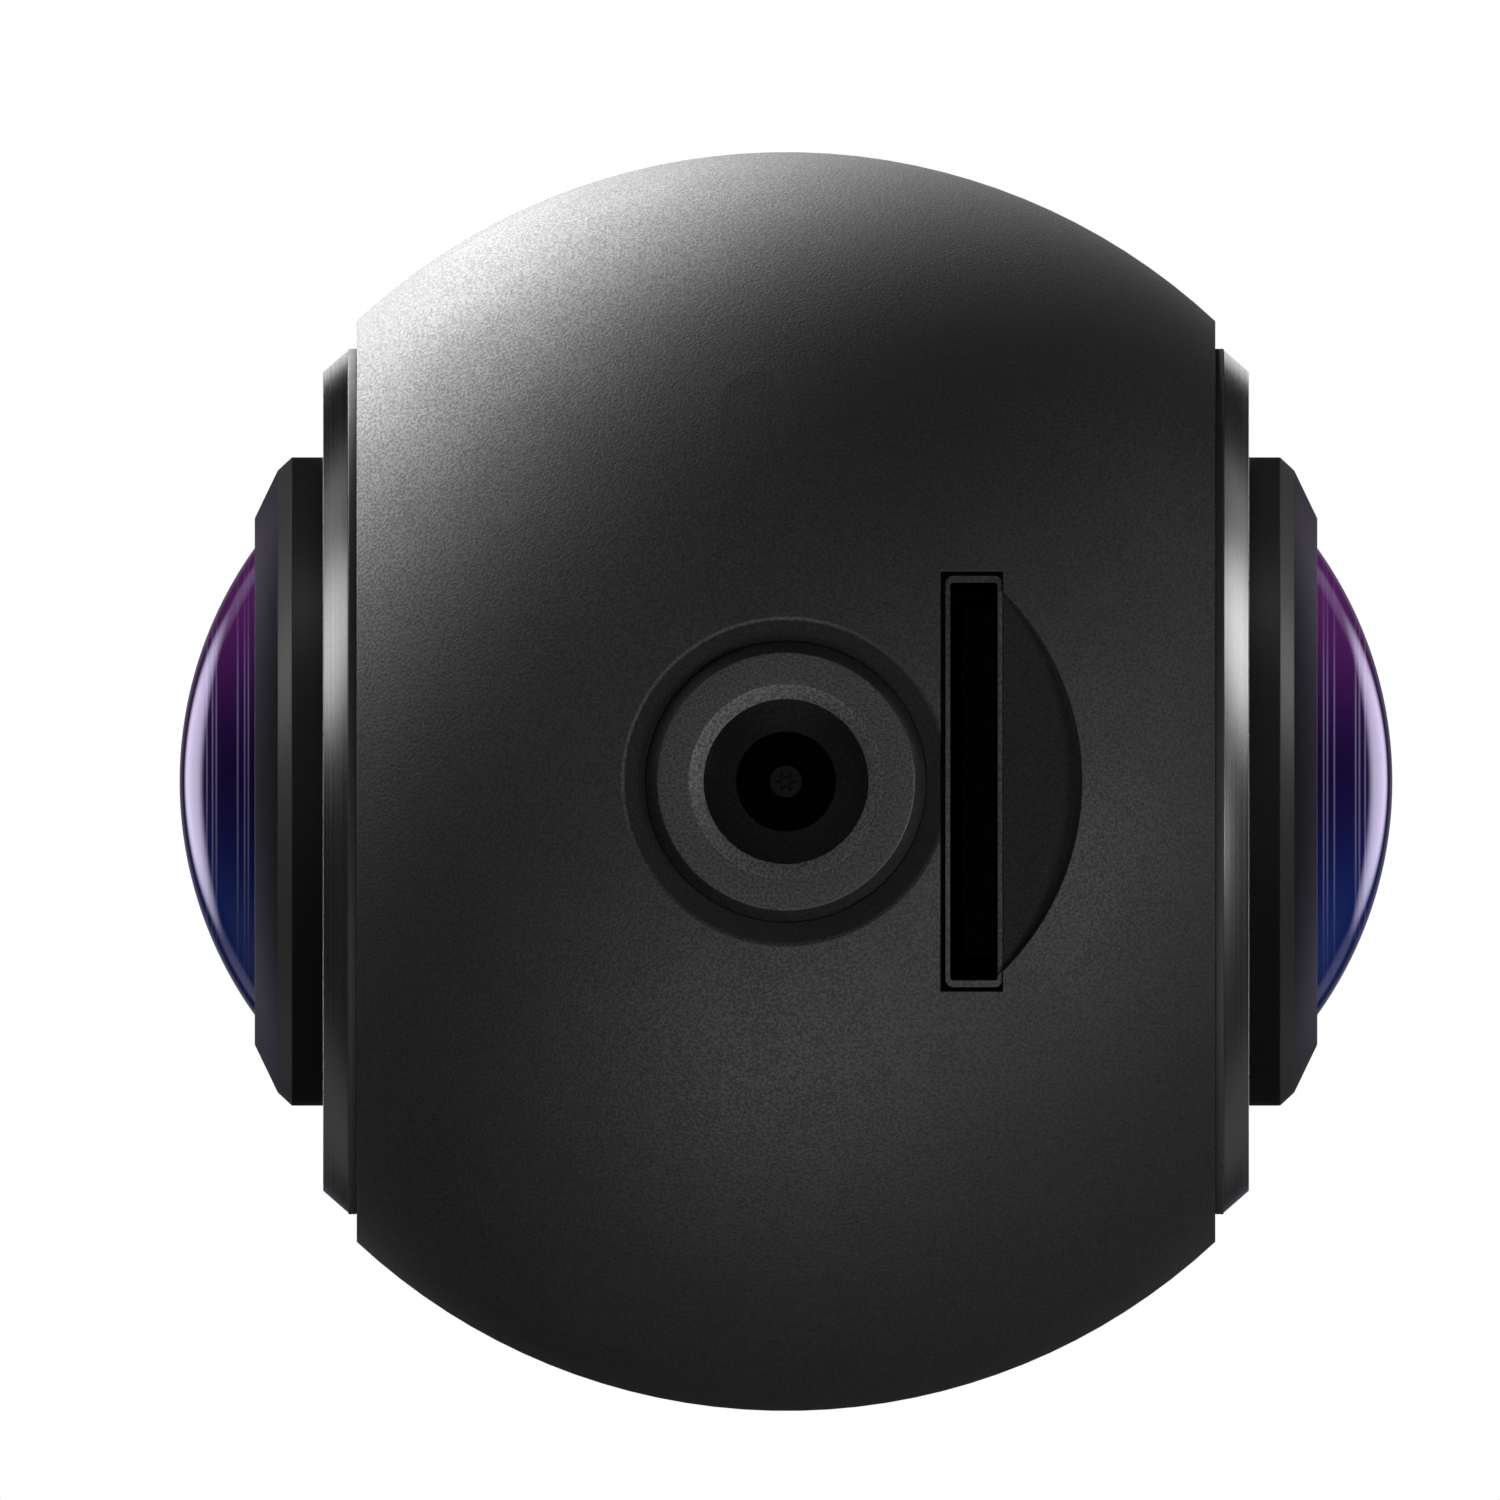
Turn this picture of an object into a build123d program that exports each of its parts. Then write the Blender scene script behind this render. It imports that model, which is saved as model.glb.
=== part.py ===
from build123d import *
import os
from math import asin, atan2, cos, degrees, sin, sqrt

os.makedirs("parts", exist_ok=True)

# All lengths are in millimetres. +Z is up, X is the axis of the two lenses,
# and the origin is the centre of the tripod socket's face, on which the camera stands.

# Ball-shaped body
ball_diameter = 40.0
body_width = 27.28
shell_wall = 1.6
flat_wall = 2.0
foot_inset = 0.45

# Clearances, and how far each cut runs past the surface that it opens
slip_gap = 0.05
push_gap = 0.02
loose_gap = 0.2
overrun = 1.0

ball_radius = ball_diameter / 2
cavity_radius = ball_radius - shell_wall
flat_x = body_width / 2
flat_inner_x = flat_x - flat_wall
seam_z = ball_radius - foot_inset

# Seam tongue between the two shells
tongue_width = 0.7
tongue_height = 0.8
tongue_root = 0.6
tongue_end_gap = 0.6

# Tripod socket, 1/4 inch camera thread
thread_radius = 2.6
thread_depth = 5.5
mouth_chamfer = 0.48
well_radius = 1.57
well_depth = 1.2
insert_floor = 0.8
insert_radius = 4.46
insert_bevel = 0.37
insert_neck_radius = 3.7
insert_flange_radius = 6.2
insert_flange_height = 0.8
groove_depth = 0.6
groove_outer_radius = 5.24
insert_pad_height = 2.25
insert_pad_radius = 6.6

# Memory card and the slot that takes it
slot_x = 5.97
slot_width = 1.51
slot_length = 12.64
slot_corner = 0.1
frame_wall_side = 0.15
frame_wall_end = 0.215
frame_recess = 0.08
pocket_gap_side = 0.16
pocket_gap_end = 0.14
frame_flange = 0.4
frame_flange_height = 0.3
slot_pad_height = 4.25
slot_pad_margin = 1.6
card_width = 11.0
card_length = 15.0
card_thickness = 0.7
card_lip = 0.3
card_lip_length = 1.5
card_notch_width = 1.3
card_notch_length = 6.0
card_depth = 1.45

# Half-moon finger scoop beside the slot
scoop_radius = 8.63
scoop_shift = 0.66
scoop_depth_at_slot = 1.2
scoop_depth_at_rim = 0.48
scoop_draft_angle = 12

# Lens module, from the flat outwards
gasket_thickness = 0.27
gasket_lip = 0.05
trim_thickness = 0.8
trim_face_width = 2.65
trim_flare = 0.7
barrel_radius = 10.3
barrel_reach = 0.99
first_bevel_length = 0.45
first_bevel_drop = 0.42
second_bevel_length = 0.73
second_bevel_drop = 1.52
barrel_face_width = 0.94
dome_radius = 12.73

# Lens module, inside
flange_edge = 1.2
flange_thickness = 0.78
barrel_body_radius = 9.6
barrel_body_length = 1.86
barrel_tube_radius = 5.0
seal_section = 0.5
front_rim = 1.48
front_lens_seat = 1.82
front_lens_centre = 1.3
retainer_gap = 0.4
retainer_thickness = 0.9
large_bore_radius = 5.2
second_clear = 4.5
second_rim = 1.5
second_front_sag = 0.9
second_rear_clear = 3.6
second_rear_sag = 1.3
small_bore_radius = 4.25
front_spacer_length = 0.55
third_rim = 1.0
third_clear = 3.6
third_sag = 0.4
stop_thickness = 0.15
stop_radius = 1.0
rear_spacer_length = 0.6
spacer_wall = 0.6
rear_rim = 1.15
rear_front_sag = 0.35
rear_back_clear = 3.0
rear_back_sag = 0.4
rear_shelf = 0.6
flange_screw_clearance = 0.25
flange_screw_count = 4
flange_screw_angle = 45

# Image sensor and its board
holder_side = 11.2
holder_grip = 0.95
window_depth = 0.4
window_radius = 3.0
filter_thickness = 0.2
filter_side = 6.8
sensor_cavity_side = 7.4
sensor_cavity_depth = 0.45
sensor_thickness = 0.4
sensor_width = 6.6
sensor_height = 5.6
sensor_board_side = 12.0
sensor_board_thickness = 0.5
flex_width = 5.0
flex_thickness = 0.15
flex_rise = 0.35

# Small screws
screw_head_radius = 0.85
screw_head_height = 0.4
screw_shank_radius = 0.5
star_screw_head_radius = 0.52
star_screw_head_height = 0.35
star_screw_shank_radius = 0.3
star_radius = 0.32
star_waist_radius = 0.2
star_depth = 0.2
star_points = 6
screw_boss_wall = 0.8

# Battery and the chassis that holds it
battery_width = 9.0
battery_length = 17.0
battery_height = 20.6
battery_corner = 1.0
battery_shift_y = -1.0
chassis_wall = 0.6
chassis_floor = 0.7
chassis_height = 17.0
ear_reach = 3.2
ear_width = 4.0
ear_thickness = 0.8
ear_rise = 3.4
window_share = 0.5

# Main board and what it carries
board_thickness = 0.6
board_edge_gap = 1.65
board_foot_gap = 0.5
standoff_radius = 1.1
standoff_length = 0.3
board_screw_inset = 1.3
socket_wall = 0.15
socket_lane = 1.5
socket_side_wall = 0.4
socket_length = 17.5
ejector_width = 1.0
ejector_length = 5.0
ejector_hook_height = 1.2
ejector_hook_contact = 1.0
spring_radius = 0.45
spring_wall = 0.15
processor_side = 7.6
processor_thickness = 0.8
processor_gap = 0.6
spreader_thickness = 0.25
chip_thickness = 0.7
antenna_length = 7.0
antenna_width = 2.0
antenna_inset = 4.5

# USB socket
usb_width = 8.94
usb_thickness = 3.26
usb_length = 7.3
usb_wall = 0.3
usb_depth = 6.2
usb_tongue_width = 6.69
usb_tongue_thickness = 0.7
usb_tongue_length = 4.45
usb_rise = 6.5
usb_setback = 0.5
usb_recess_margin = 0.32
usb_board_thickness = 0.6
usb_board_margin = 1.0
usb_board_setback = 0.9
usb_shelf_thickness = 0.8
usb_shelf_reach = 4.5

# Shutter button, its switch and its board
button_radius = 4.2
button_recess = 0.12
button_travel = 0.3
button_flange = 0.7
button_flange_height = 0.55
button_dish = 0.25
button_stem_radius = 1.0
button_pad_drop = 2.5
button_pad_radius = 6.0
stem_gap = 0.05
switch_side = 3.2
switch_height = 1.2
switch_dome_radius = 1.1
switch_dome_height = 0.35
button_board_drop = 5.0
button_board_thickness = 0.6
button_board_width = 7.0
button_board_length = 17.4
button_board_corner = 1.5
button_boss_radius = 1.0
button_boss_place = 6.1
light_place = 8.0
light_radius = 0.6
led_side = 1.0
led_height = 0.5
mic_side = 1.2
mic_height = 0.7
mic_hole_radius = 0.35

# Radii of the lens module, worked out from the barrel outwards and inwards
trim_face_radius = barrel_radius + slip_gap + trim_face_width
trim_base_radius = trim_face_radius + trim_flare
gasket_radius = trim_base_radius + gasket_lip
dome_base_radius = barrel_radius - first_bevel_drop - second_bevel_drop - barrel_face_width
flange_boss_radius = screw_shank_radius + screw_boss_wall
flange_screw_circle = max(
    barrel_radius + flange_screw_clearance + screw_head_radius,
    barrel_body_radius + slip_gap + flange_boss_radius,
)
flange_radius = flange_screw_circle + flange_edge

# Places along the lens axis, worked out from the outside inwards
gasket_front_x = flat_x + gasket_thickness
trim_front_x = gasket_front_x + trim_thickness
shoulder_x = trim_front_x + barrel_reach
first_bevel_x = shoulder_x + first_bevel_length
barrel_front_x = first_bevel_x + second_bevel_length
dome_sag = dome_radius - sqrt(dome_radius**2 - dome_base_radius**2)
front_rear_clear = dome_base_radius - front_lens_seat
front_rear_sag = front_rim + dome_sag - front_lens_centre
front_rear_x = barrel_front_x - front_rim
retainer_front_x = front_rear_x - retainer_gap
second_front_x = retainer_front_x - retainer_thickness
second_rear_x = second_front_x - second_rim
third_front_x = second_rear_x - front_spacer_length
third_rear_x = third_front_x - third_rim
stop_rear_x = third_rear_x - stop_thickness
rear_front_x = stop_rear_x - rear_spacer_length
rear_rear_x = rear_front_x - rear_rim
barrel_rear_x = rear_rear_x - rear_shelf
flange_rear_x = flat_x - flange_thickness
body_rear_x = flange_rear_x - barrel_body_length
filter_front_x = barrel_rear_x - window_depth
filter_rear_x = filter_front_x - filter_thickness
sensor_board_front_x = filter_rear_x - sensor_cavity_depth
sensor_board_rear_x = sensor_board_front_x - sensor_board_thickness

# Places along Z
groove_z = groove_depth
pad_z = insert_pad_height
insert_top_z = thread_depth + well_depth + insert_floor
chassis_z = insert_top_z
battery_z = chassis_z + chassis_floor + slip_gap
slot_rim_z = seam_z - sqrt(ball_radius**2 - slot_x**2)
slot_pad_z = slot_pad_height
frame_top_z = slot_pad_z + frame_flange_height
card_low_z = slot_rim_z + card_depth
button_pad_z = seam_z + ball_radius - button_pad_drop
button_board_top_z = seam_z + ball_radius - button_board_drop
switch_top_z = button_board_top_z + switch_height
stem_low_z = switch_top_z + button_travel + stem_gap

# Main board's place: behind the card socket, clear of the insert
board_front_x = slot_x - slot_width / 2 - slip_gap / 2
board_rear_x = board_front_x - board_thickness
board_radius = sqrt(cavity_radius**2 - board_front_x**2) - board_edge_gap
chassis_right_x = board_rear_x - standoff_length
battery_x = chassis_right_x - chassis_wall - slip_gap - battery_width / 2
battery_y = battery_shift_y
tray_width = battery_width + 2 * (chassis_wall + slip_gap)
tray_length = battery_length + 2 * (chassis_wall + slip_gap)
tray_end = tray_length / 2
ear_top_z = chassis_z + ear_rise + ear_thickness
board_low_z = frame_top_z + board_foot_gap

# Planes and axes
centre = (0, 0, seam_z)
lens_axis = Axis(centre, (1, 0, 0))
lens_plane = Plane(origin=centre, x_dir=(1, 0, 0), z_dir=(0, -1, 0))
seam_plane = Plane(origin=centre, x_dir=(1, 0, 0), z_dir=(0, 0, 1))


def across(x):
    """Plane square to the lens axis, with Y to the right and Z up."""
    return Plane(origin=(x, 0, seam_z), x_dir=(0, 1, 0), z_dir=(1, 0, 0))


def level(z, x=0, y=0):
    """Horizontal plane at the height z."""
    return Plane(origin=(x, y, z), x_dir=(1, 0, 0), z_dir=(0, 0, 1))


def keep(part, name):
    part.label = name
    export_step(part, f"parts/{name}.step")


def axis_arc(rim_x, clear_radius, sag, side):
    """Points of a spherical lens face, from its rim to the lens axis."""
    curve = (clear_radius**2 + sag**2) / (2 * sag)
    centre_x = rim_x + sag - curve
    half_angle = asin(clear_radius / abs(curve)) / 2
    middle = (side * (centre_x + curve * cos(half_angle)), abs(curve) * sin(half_angle))
    return (side * rim_x, clear_radius), middle, (side * (rim_x + sag), 0)


def turned(points, side=1):
    """Solid turned about the lens axis from (x, radius) points."""
    with BuildPart() as piece:
        with BuildSketch(lens_plane):
            with BuildLine():
                Polyline([(side * x, radius) for x, radius in points], close=True)
            make_face()
        revolve(axis=lens_axis)
    return piece.part


def turned_upright(points):
    """Solid turned about the tripod socket's axis from (radius, z) points."""
    with BuildPart() as piece:
        with BuildSketch(Plane.XZ):
            with BuildLine():
                Polyline(points, close=True)
            make_face()
        revolve(axis=Axis.Z)
    return piece.part


def tube(inner, outer, x_low, x_high, side):
    """Plain ring about the lens axis."""
    return turned([(x_low, inner), (x_high, inner), (x_high, outer), (x_low, outer)], side)


def lens_element(side, rim_radius, rear_x, front_x, front_clear, front_sag, rear_clear, rear_sag):
    """Lens with a flat rim and spherical faces. A rear sag of zero leaves that face flat."""
    front = axis_arc(front_x, front_clear, front_sag, side)
    with BuildPart() as lens:
        with BuildSketch(lens_plane):
            with BuildLine():
                Polyline((side * rear_x, rear_clear), (side * rear_x, rim_radius), (side * front_x, rim_radius))
                if front_clear < rim_radius:
                    Line((side * front_x, rim_radius), front[0])
                ThreePointArc(*front)
                if rear_sag:
                    rear = axis_arc(rear_x, rear_clear, rear_sag, side)
                    Line(front[2], rear[2])
                    ThreePointArc(*rear)
                else:
                    Polyline(front[2], (side * rear_x, 0), (side * rear_x, rear_clear))
            make_face()
        revolve(axis=lens_axis)
    return lens.part


def ball_half(half, radius, half_width):
    """Upper (+1) or lower (-1) half of a ball that is cut by two flats."""
    rim = sqrt(radius**2 - half_width**2)
    with BuildPart() as ball:
        with BuildSketch(seam_plane):
            with BuildLine():
                ThreePointArc((-half_width, half * rim), (0, half * radius), (half_width, half * rim))
                Polyline((half_width, half * rim), (half_width, 0), (-half_width, 0), (-half_width, half * rim))
            make_face()
        revolve(axis=lens_axis, revolution_arc=180)
    return ball.part


# Cutters and bosses that both shells share

with BuildPart() as lens_openings:
    for side in (-1, 1):
        shelf_x = flange_rear_x - push_gap
        steps = [
            (flat_inner_x - flat_wall, 0),
            (flat_inner_x - flat_wall, barrel_body_radius + slip_gap),
            (shelf_x, barrel_body_radius + slip_gap),
            (shelf_x, flange_radius + slip_gap),
            (flat_x + overrun, flange_radius + slip_gap),
            (flat_x + overrun, 0),
        ]
        with BuildSketch(lens_plane):
            with BuildLine():
                Polyline([(side * x, radius) for x, radius in steps], close=True)
            make_face()
        revolve(axis=lens_axis)

flange_screw_length = flat_wall
flange_screw_head_x = flat_x - push_gap
flange_screw_end_x = flange_screw_head_x - screw_head_height - flange_screw_length

with BuildPart() as flange_bosses:
    for side in (-1, 1):
        with BuildSketch(across(side * (flange_screw_end_x - loose_gap))):
            with PolarLocations(flange_screw_circle, flange_screw_count, start_angle=flange_screw_angle):
                Circle(flange_boss_radius)
        extrude(amount=side * (flat_x - flange_screw_end_x))

with BuildPart() as flange_screw_holes:
    for side in (-1, 1):
        with BuildSketch(across(side * flange_screw_end_x)):
            with PolarLocations(flange_screw_circle, flange_screw_count, start_angle=flange_screw_angle):
                Circle(screw_shank_radius)
        extrude(amount=side * (flat_x - flange_screw_end_x))


def seam_tongue(gap):
    """Lip that stands on the lower shell, or the groove for it, at the front and the back."""
    reach = flat_inner_x - tongue_end_gap + gap
    with BuildPart() as tongue:
        with BuildSketch(level(seam_z - tongue_root)):
            Circle(cavity_radius + tongue_width + gap)
            Circle(cavity_radius - overrun * gap / slip_gap, mode=Mode.SUBTRACT)
            Rectangle(2 * reach, ball_diameter, mode=Mode.INTERSECT)
        extrude(amount=tongue_root + tongue_height + gap)
    return tongue.part


# Half-moon finger scoop: a shallow round pocket whose floor falls away from the slot
scoop_chord_x = slot_x + slot_width / 2
scoop_rim_x = scoop_shift + scoop_radius
scoop_floor_z = seam_z - sqrt(ball_radius**2 - scoop_chord_x**2) + scoop_depth_at_slot
scoop_rim_floor_z = seam_z - sqrt(ball_radius**2 - scoop_rim_x**2) + scoop_depth_at_rim
scoop_run = scoop_rim_x - scoop_chord_x
scoop_slope = degrees(atan2(scoop_rim_floor_z - scoop_floor_z, scoop_run))
scoop_plane = level(scoop_floor_z, scoop_chord_x).rotated((0, -scoop_slope, 0))

with BuildPart() as finger_scoop:
    with BuildSketch(scoop_plane):
        with Locations((scoop_shift - scoop_chord_x, 0)):
            Circle(scoop_radius)
        with Locations((scoop_run, 0)):
            Rectangle(2 * scoop_run, 2 * scoop_radius, mode=Mode.INTERSECT)
    extrude(amount=-(ball_radius - cavity_radius + overrun), taper=-scoop_draft_angle)

# Slot frame: thin lining of the card slot, held from inside by its flange
frame_width = slot_width + 2 * frame_wall_side
frame_length = slot_length + 2 * frame_wall_end

with BuildPart() as slot_frame:
    with BuildSketch(level(frame_top_z, slot_x)):
        RectangleRounded(frame_width, frame_length, slot_corner + frame_wall_side)
    extrude(amount=-frame_top_z)
    with BuildSketch(level(slot_pad_z, slot_x)):
        RectangleRounded(frame_width + 2 * frame_flange, frame_length + 2 * frame_wall_side, slot_corner)
    extrude(amount=frame_flange_height)
    with BuildSketch(level(frame_top_z + overrun, slot_x)):
        RectangleRounded(slot_width, slot_length, slot_corner)
    extrude(amount=-(frame_top_z + 2 * overrun), mode=Mode.SUBTRACT)
    with Locations(centre):
        Sphere(ball_radius - frame_recess, mode=Mode.INTERSECT)
    add(finger_scoop.part, mode=Mode.SUBTRACT)
keep(slot_frame.part, "slot_frame")

# Pads and bosses inside the lower shell, trimmed to the ball
ear_y_places = (battery_y - tray_end - ear_reach / 2, battery_y + tray_end + ear_reach / 2)
slot_pad_left_x = insert_radius + 2 * slip_gap
slot_pad_right_x = slot_x + frame_width / 2 + slot_pad_margin
slot_pad_middle_x = (slot_pad_left_x + slot_pad_right_x) / 2
lower_half = ball_half(-1, ball_radius, flat_x)

with BuildPart() as lower_pads:
    with BuildSketch(level(pad_z)):
        Circle(insert_pad_radius)
    extrude(amount=-pad_z)
    with BuildSketch(level(slot_pad_z, slot_pad_middle_x)):
        Rectangle(slot_pad_right_x - slot_pad_left_x, frame_length + 2 * slot_pad_margin)
    extrude(amount=-slot_pad_z)
    with BuildSketch(level(chassis_z + ear_rise, battery_x)):
        with Locations(*[(0, y) for y in ear_y_places]):
            Circle(flange_boss_radius)
    extrude(amount=-(chassis_z + ear_rise))
    add(flange_bosses.part)
    add(lower_half, mode=Mode.INTERSECT)

# Lower shell: half of the painted ball, with the tripod seat, the card slot and the scoop
with BuildPart() as shell_lower:
    add(lower_half)
    add(ball_half(-1, cavity_radius, flat_inner_x), mode=Mode.SUBTRACT)
    add(lower_pads.part)
    add(seam_tongue(0))
    add(lens_openings.part, mode=Mode.SUBTRACT)
    add(flange_screw_holes.part, mode=Mode.SUBTRACT)
    groove_rim_z = seam_z - sqrt(ball_radius**2 - groove_outer_radius**2)
    seat_radius = insert_radius + push_gap
    with BuildSketch(Plane.XZ):
        with BuildLine():
            Polyline(
                (0, -overrun),
                (groove_outer_radius, -overrun),
                (groove_outer_radius, groove_rim_z),
                (seat_radius, groove_z),
                (seat_radius, pad_z + overrun),
                (0, pad_z + overrun),
                close=True,
            )
        make_face()
    revolve(axis=Axis.Z, mode=Mode.SUBTRACT)
    with BuildSketch(level(slot_pad_z, slot_x - (pocket_gap_side - push_gap) / 2)):
        Rectangle(frame_width + pocket_gap_side + push_gap, frame_length + 2 * pocket_gap_end)
    extrude(amount=-(slot_pad_z + overrun), mode=Mode.SUBTRACT)
    with BuildSketch(level(slot_pad_z, slot_x)):
        Rectangle(frame_width + 2 * (frame_flange + slip_gap), frame_length + 2 * (frame_wall_side + slip_gap))
    extrude(amount=frame_flange_height + overrun, mode=Mode.SUBTRACT)
    add(finger_scoop.part, mode=Mode.SUBTRACT)
    with BuildSketch(level(chassis_z + ear_rise, battery_x)):
        with Locations(*[(0, y) for y in ear_y_places]):
            Circle(screw_shank_radius)
    extrude(amount=-ear_rise / 2, mode=Mode.SUBTRACT)
keep(shell_lower.part, "shell_lower")

# Upper shell: the other half, with the button well, the lights and the USB opening
upper_half = ball_half(1, ball_radius, flat_x)
usb_x = battery_x
usb_z = seam_z + usb_rise
usb_corner = (abs(usb_x) + usb_width / 2, usb_rise + usb_thickness / 2)
usb_mouth_y = sqrt(ball_radius**2 - usb_corner[0] ** 2 - usb_corner[1] ** 2) - usb_setback
usb_plane = Plane(origin=(usb_x, usb_mouth_y, usb_z), x_dir=(1, 0, 0), z_dir=(0, 1, 0))
usb_board_top_z = usb_z - usb_thickness / 2

with BuildPart() as upper_pads:
    with BuildSketch(level(button_pad_z)):
        Circle(button_pad_radius)
    extrude(amount=button_pad_drop)
    with BuildSketch(level(button_board_top_z)):
        with Locations((0, -button_boss_place), (0, button_boss_place)):
            Circle(button_boss_radius)
    extrude(amount=button_board_drop)
    add(flange_bosses.part)
    add(upper_half, mode=Mode.INTERSECT)

with BuildPart() as shell_upper:
    add(upper_half)
    add(ball_half(1, cavity_radius, flat_inner_x), mode=Mode.SUBTRACT)
    add(upper_pads.part)
    add(seam_tongue(slip_gap), mode=Mode.SUBTRACT)
    add(lens_openings.part, mode=Mode.SUBTRACT)
    add(flange_screw_holes.part, mode=Mode.SUBTRACT)
    with BuildSketch(level(button_pad_z - overrun)):
        Circle(button_radius + slip_gap)
    extrude(amount=button_pad_drop + 2 * overrun, mode=Mode.SUBTRACT)
    with BuildSketch(level(button_board_top_z)):
        with Locations((0, -light_place)):
            Circle(light_radius + push_gap)
        with Locations((0, light_place)):
            Circle(mic_hole_radius)
    extrude(amount=button_board_drop, mode=Mode.SUBTRACT)
    with BuildSketch(level(button_board_top_z)):
        with Locations((0, -button_boss_place), (0, button_boss_place)):
            Circle(screw_shank_radius)
    extrude(amount=switch_height, mode=Mode.SUBTRACT)
    with BuildSketch(usb_plane):
        SlotOverall(usb_width + 2 * usb_recess_margin, usb_thickness + 2 * usb_recess_margin)
    extrude(amount=ball_radius - usb_mouth_y, mode=Mode.SUBTRACT)
    with BuildSketch(usb_plane.offset(-usb_length)):
        SlotOverall(usb_width + 2 * slip_gap, usb_thickness + 2 * slip_gap)
    extrude(amount=ball_radius - usb_mouth_y + usb_length, mode=Mode.SUBTRACT)
keep(shell_upper.part, "shell_upper")

# Tripod insert: threaded metal bush, D-shaped flange inside the shell
insert_outline = [
    (thread_radius + mouth_chamfer, 0),
    (thread_radius, mouth_chamfer),
    (thread_radius, thread_depth),
    (well_radius, thread_depth),
    (well_radius, thread_depth + well_depth),
    (star_screw_shank_radius + push_gap, thread_depth + well_depth),
    (star_screw_shank_radius + push_gap, insert_top_z),
    (insert_neck_radius, insert_top_z),
    (insert_neck_radius, pad_z + insert_flange_height),
    (insert_flange_radius, pad_z + insert_flange_height),
    (insert_flange_radius, pad_z),
    (insert_radius, pad_z),
    (insert_radius, groove_z),
    (insert_radius - insert_bevel, 0),
]

with BuildPart() as tripod_insert:
    add(turned_upright(insert_outline))
    with BuildSketch(level(0)):
        Rectangle(2 * insert_radius, 2 * insert_flange_radius)
    extrude(amount=insert_top_z, mode=Mode.INTERSECT)
keep(tripod_insert.part, "tripod_insert")

# Star-drive screw that ties the insert to the chassis
star_head_z = thread_depth + well_depth - star_screw_head_height
star_outline = []
for tooth in range(star_points):
    star_outline.append((star_radius, 360 * tooth / star_points))
    star_outline.append((star_waist_radius, 360 * (tooth + 0.5) / star_points))

with BuildPart() as insert_screw:
    with BuildSketch(level(star_head_z)):
        Circle(star_screw_head_radius)
    extrude(amount=star_screw_head_height)
    with BuildSketch(level(star_head_z)):
        Circle(star_screw_shank_radius)
    extrude(amount=star_screw_head_height + insert_floor + chassis_floor - slip_gap)
    with BuildSketch(level(star_head_z)):
        with BuildLine():
            Polyline([Vector(radius, 0).rotate(Axis.Z, angle) for radius, angle in star_outline], close=True)
        make_face()
    extrude(amount=star_depth, mode=Mode.SUBTRACT)
keep(insert_screw.part, "insert_screw")

# Memory card, with its lip at the outer end and its notch on one side
with BuildPart() as memory_card:
    with BuildSketch(level(card_low_z, slot_x)):
        Rectangle(card_thickness, card_width)
    extrude(amount=card_length)
    with BuildSketch(level(card_low_z, slot_x + (card_thickness + card_lip) / 2)):
        Rectangle(card_lip, card_width)
    extrude(amount=card_lip_length)
    notch_y = (card_width - card_notch_width) / 2
    with BuildSketch(level(card_low_z + card_length, slot_x, notch_y)):
        Rectangle(card_thickness + overrun, card_notch_width)
    extrude(amount=-card_notch_length, mode=Mode.SUBTRACT)
keep(memory_card.part, "memory_card")

# Card socket: folded metal cover with a lane for the push-push slider
socket_low_z = frame_top_z + slip_gap
socket_top_z = socket_low_z + socket_length
socket_low_y = -card_width / 2 - loose_gap - socket_side_wall
socket_high_y = card_width / 2 + loose_gap + socket_lane + socket_side_wall
socket_height = slot_width + 2 * slip_gap
socket_x = board_front_x + socket_height / 2
socket_y = (socket_low_y + socket_high_y) / 2

with BuildPart() as card_socket:
    with BuildSketch(level(socket_low_z, socket_x, socket_y)):
        Rectangle(socket_height, socket_high_y - socket_low_y)
        cavity_length = socket_high_y - socket_low_y - 2 * socket_side_wall
        Rectangle(socket_height - 2 * socket_wall, cavity_length, mode=Mode.SUBTRACT)
    extrude(amount=socket_length)
    with BuildSketch(level(socket_top_z, socket_x, socket_y)):
        Rectangle(socket_height, socket_high_y - socket_low_y)
    extrude(amount=-socket_side_wall)
keep(card_socket.part, "card_socket")

# Push-push slider beside the card, with its hook behind the card's inner end
ejector_y = card_width / 2 + loose_gap + socket_lane / 2
hook_low_z = card_low_z + card_length + push_gap
ejector_top_z = hook_low_z + ejector_hook_height
hook_low_y = card_width / 2 - card_notch_width - ejector_hook_contact
hook_high_y = ejector_y + ejector_width / 2

with BuildPart() as card_ejector:
    with BuildSketch(level(ejector_top_z, slot_x, ejector_y)):
        Rectangle(card_thickness, ejector_width)
    extrude(amount=-ejector_length)
    with BuildSketch(level(ejector_top_z, slot_x, (hook_low_y + hook_high_y) / 2)):
        Rectangle(card_thickness, hook_high_y - hook_low_y)
    extrude(amount=-ejector_hook_height)
keep(card_ejector.part, "card_ejector")

# Spring between the slider and the closed end of the socket
with BuildPart() as ejector_spring:
    with BuildSketch(level(ejector_top_z + slip_gap, slot_x, ejector_y)):
        Circle(spring_radius)
        Circle(spring_radius - spring_wall, mode=Mode.SUBTRACT)
    extrude(amount=socket_top_z - socket_side_wall - ejector_top_z - 2 * slip_gap)
keep(ejector_spring.part, "ejector_spring")

# Chassis: open tray round the battery, with ears that are screwed to the lower shell
tray_top_z = chassis_z + chassis_height
board_screw_places = [
    (battery_y - tray_end + board_screw_inset, chassis_z + board_screw_inset - seam_z),
    (battery_y - tray_end + board_screw_inset, tray_top_z - board_screw_inset - seam_z),
    (battery_y + tray_end - board_screw_inset, tray_top_z - board_screw_inset - seam_z),
]

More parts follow.
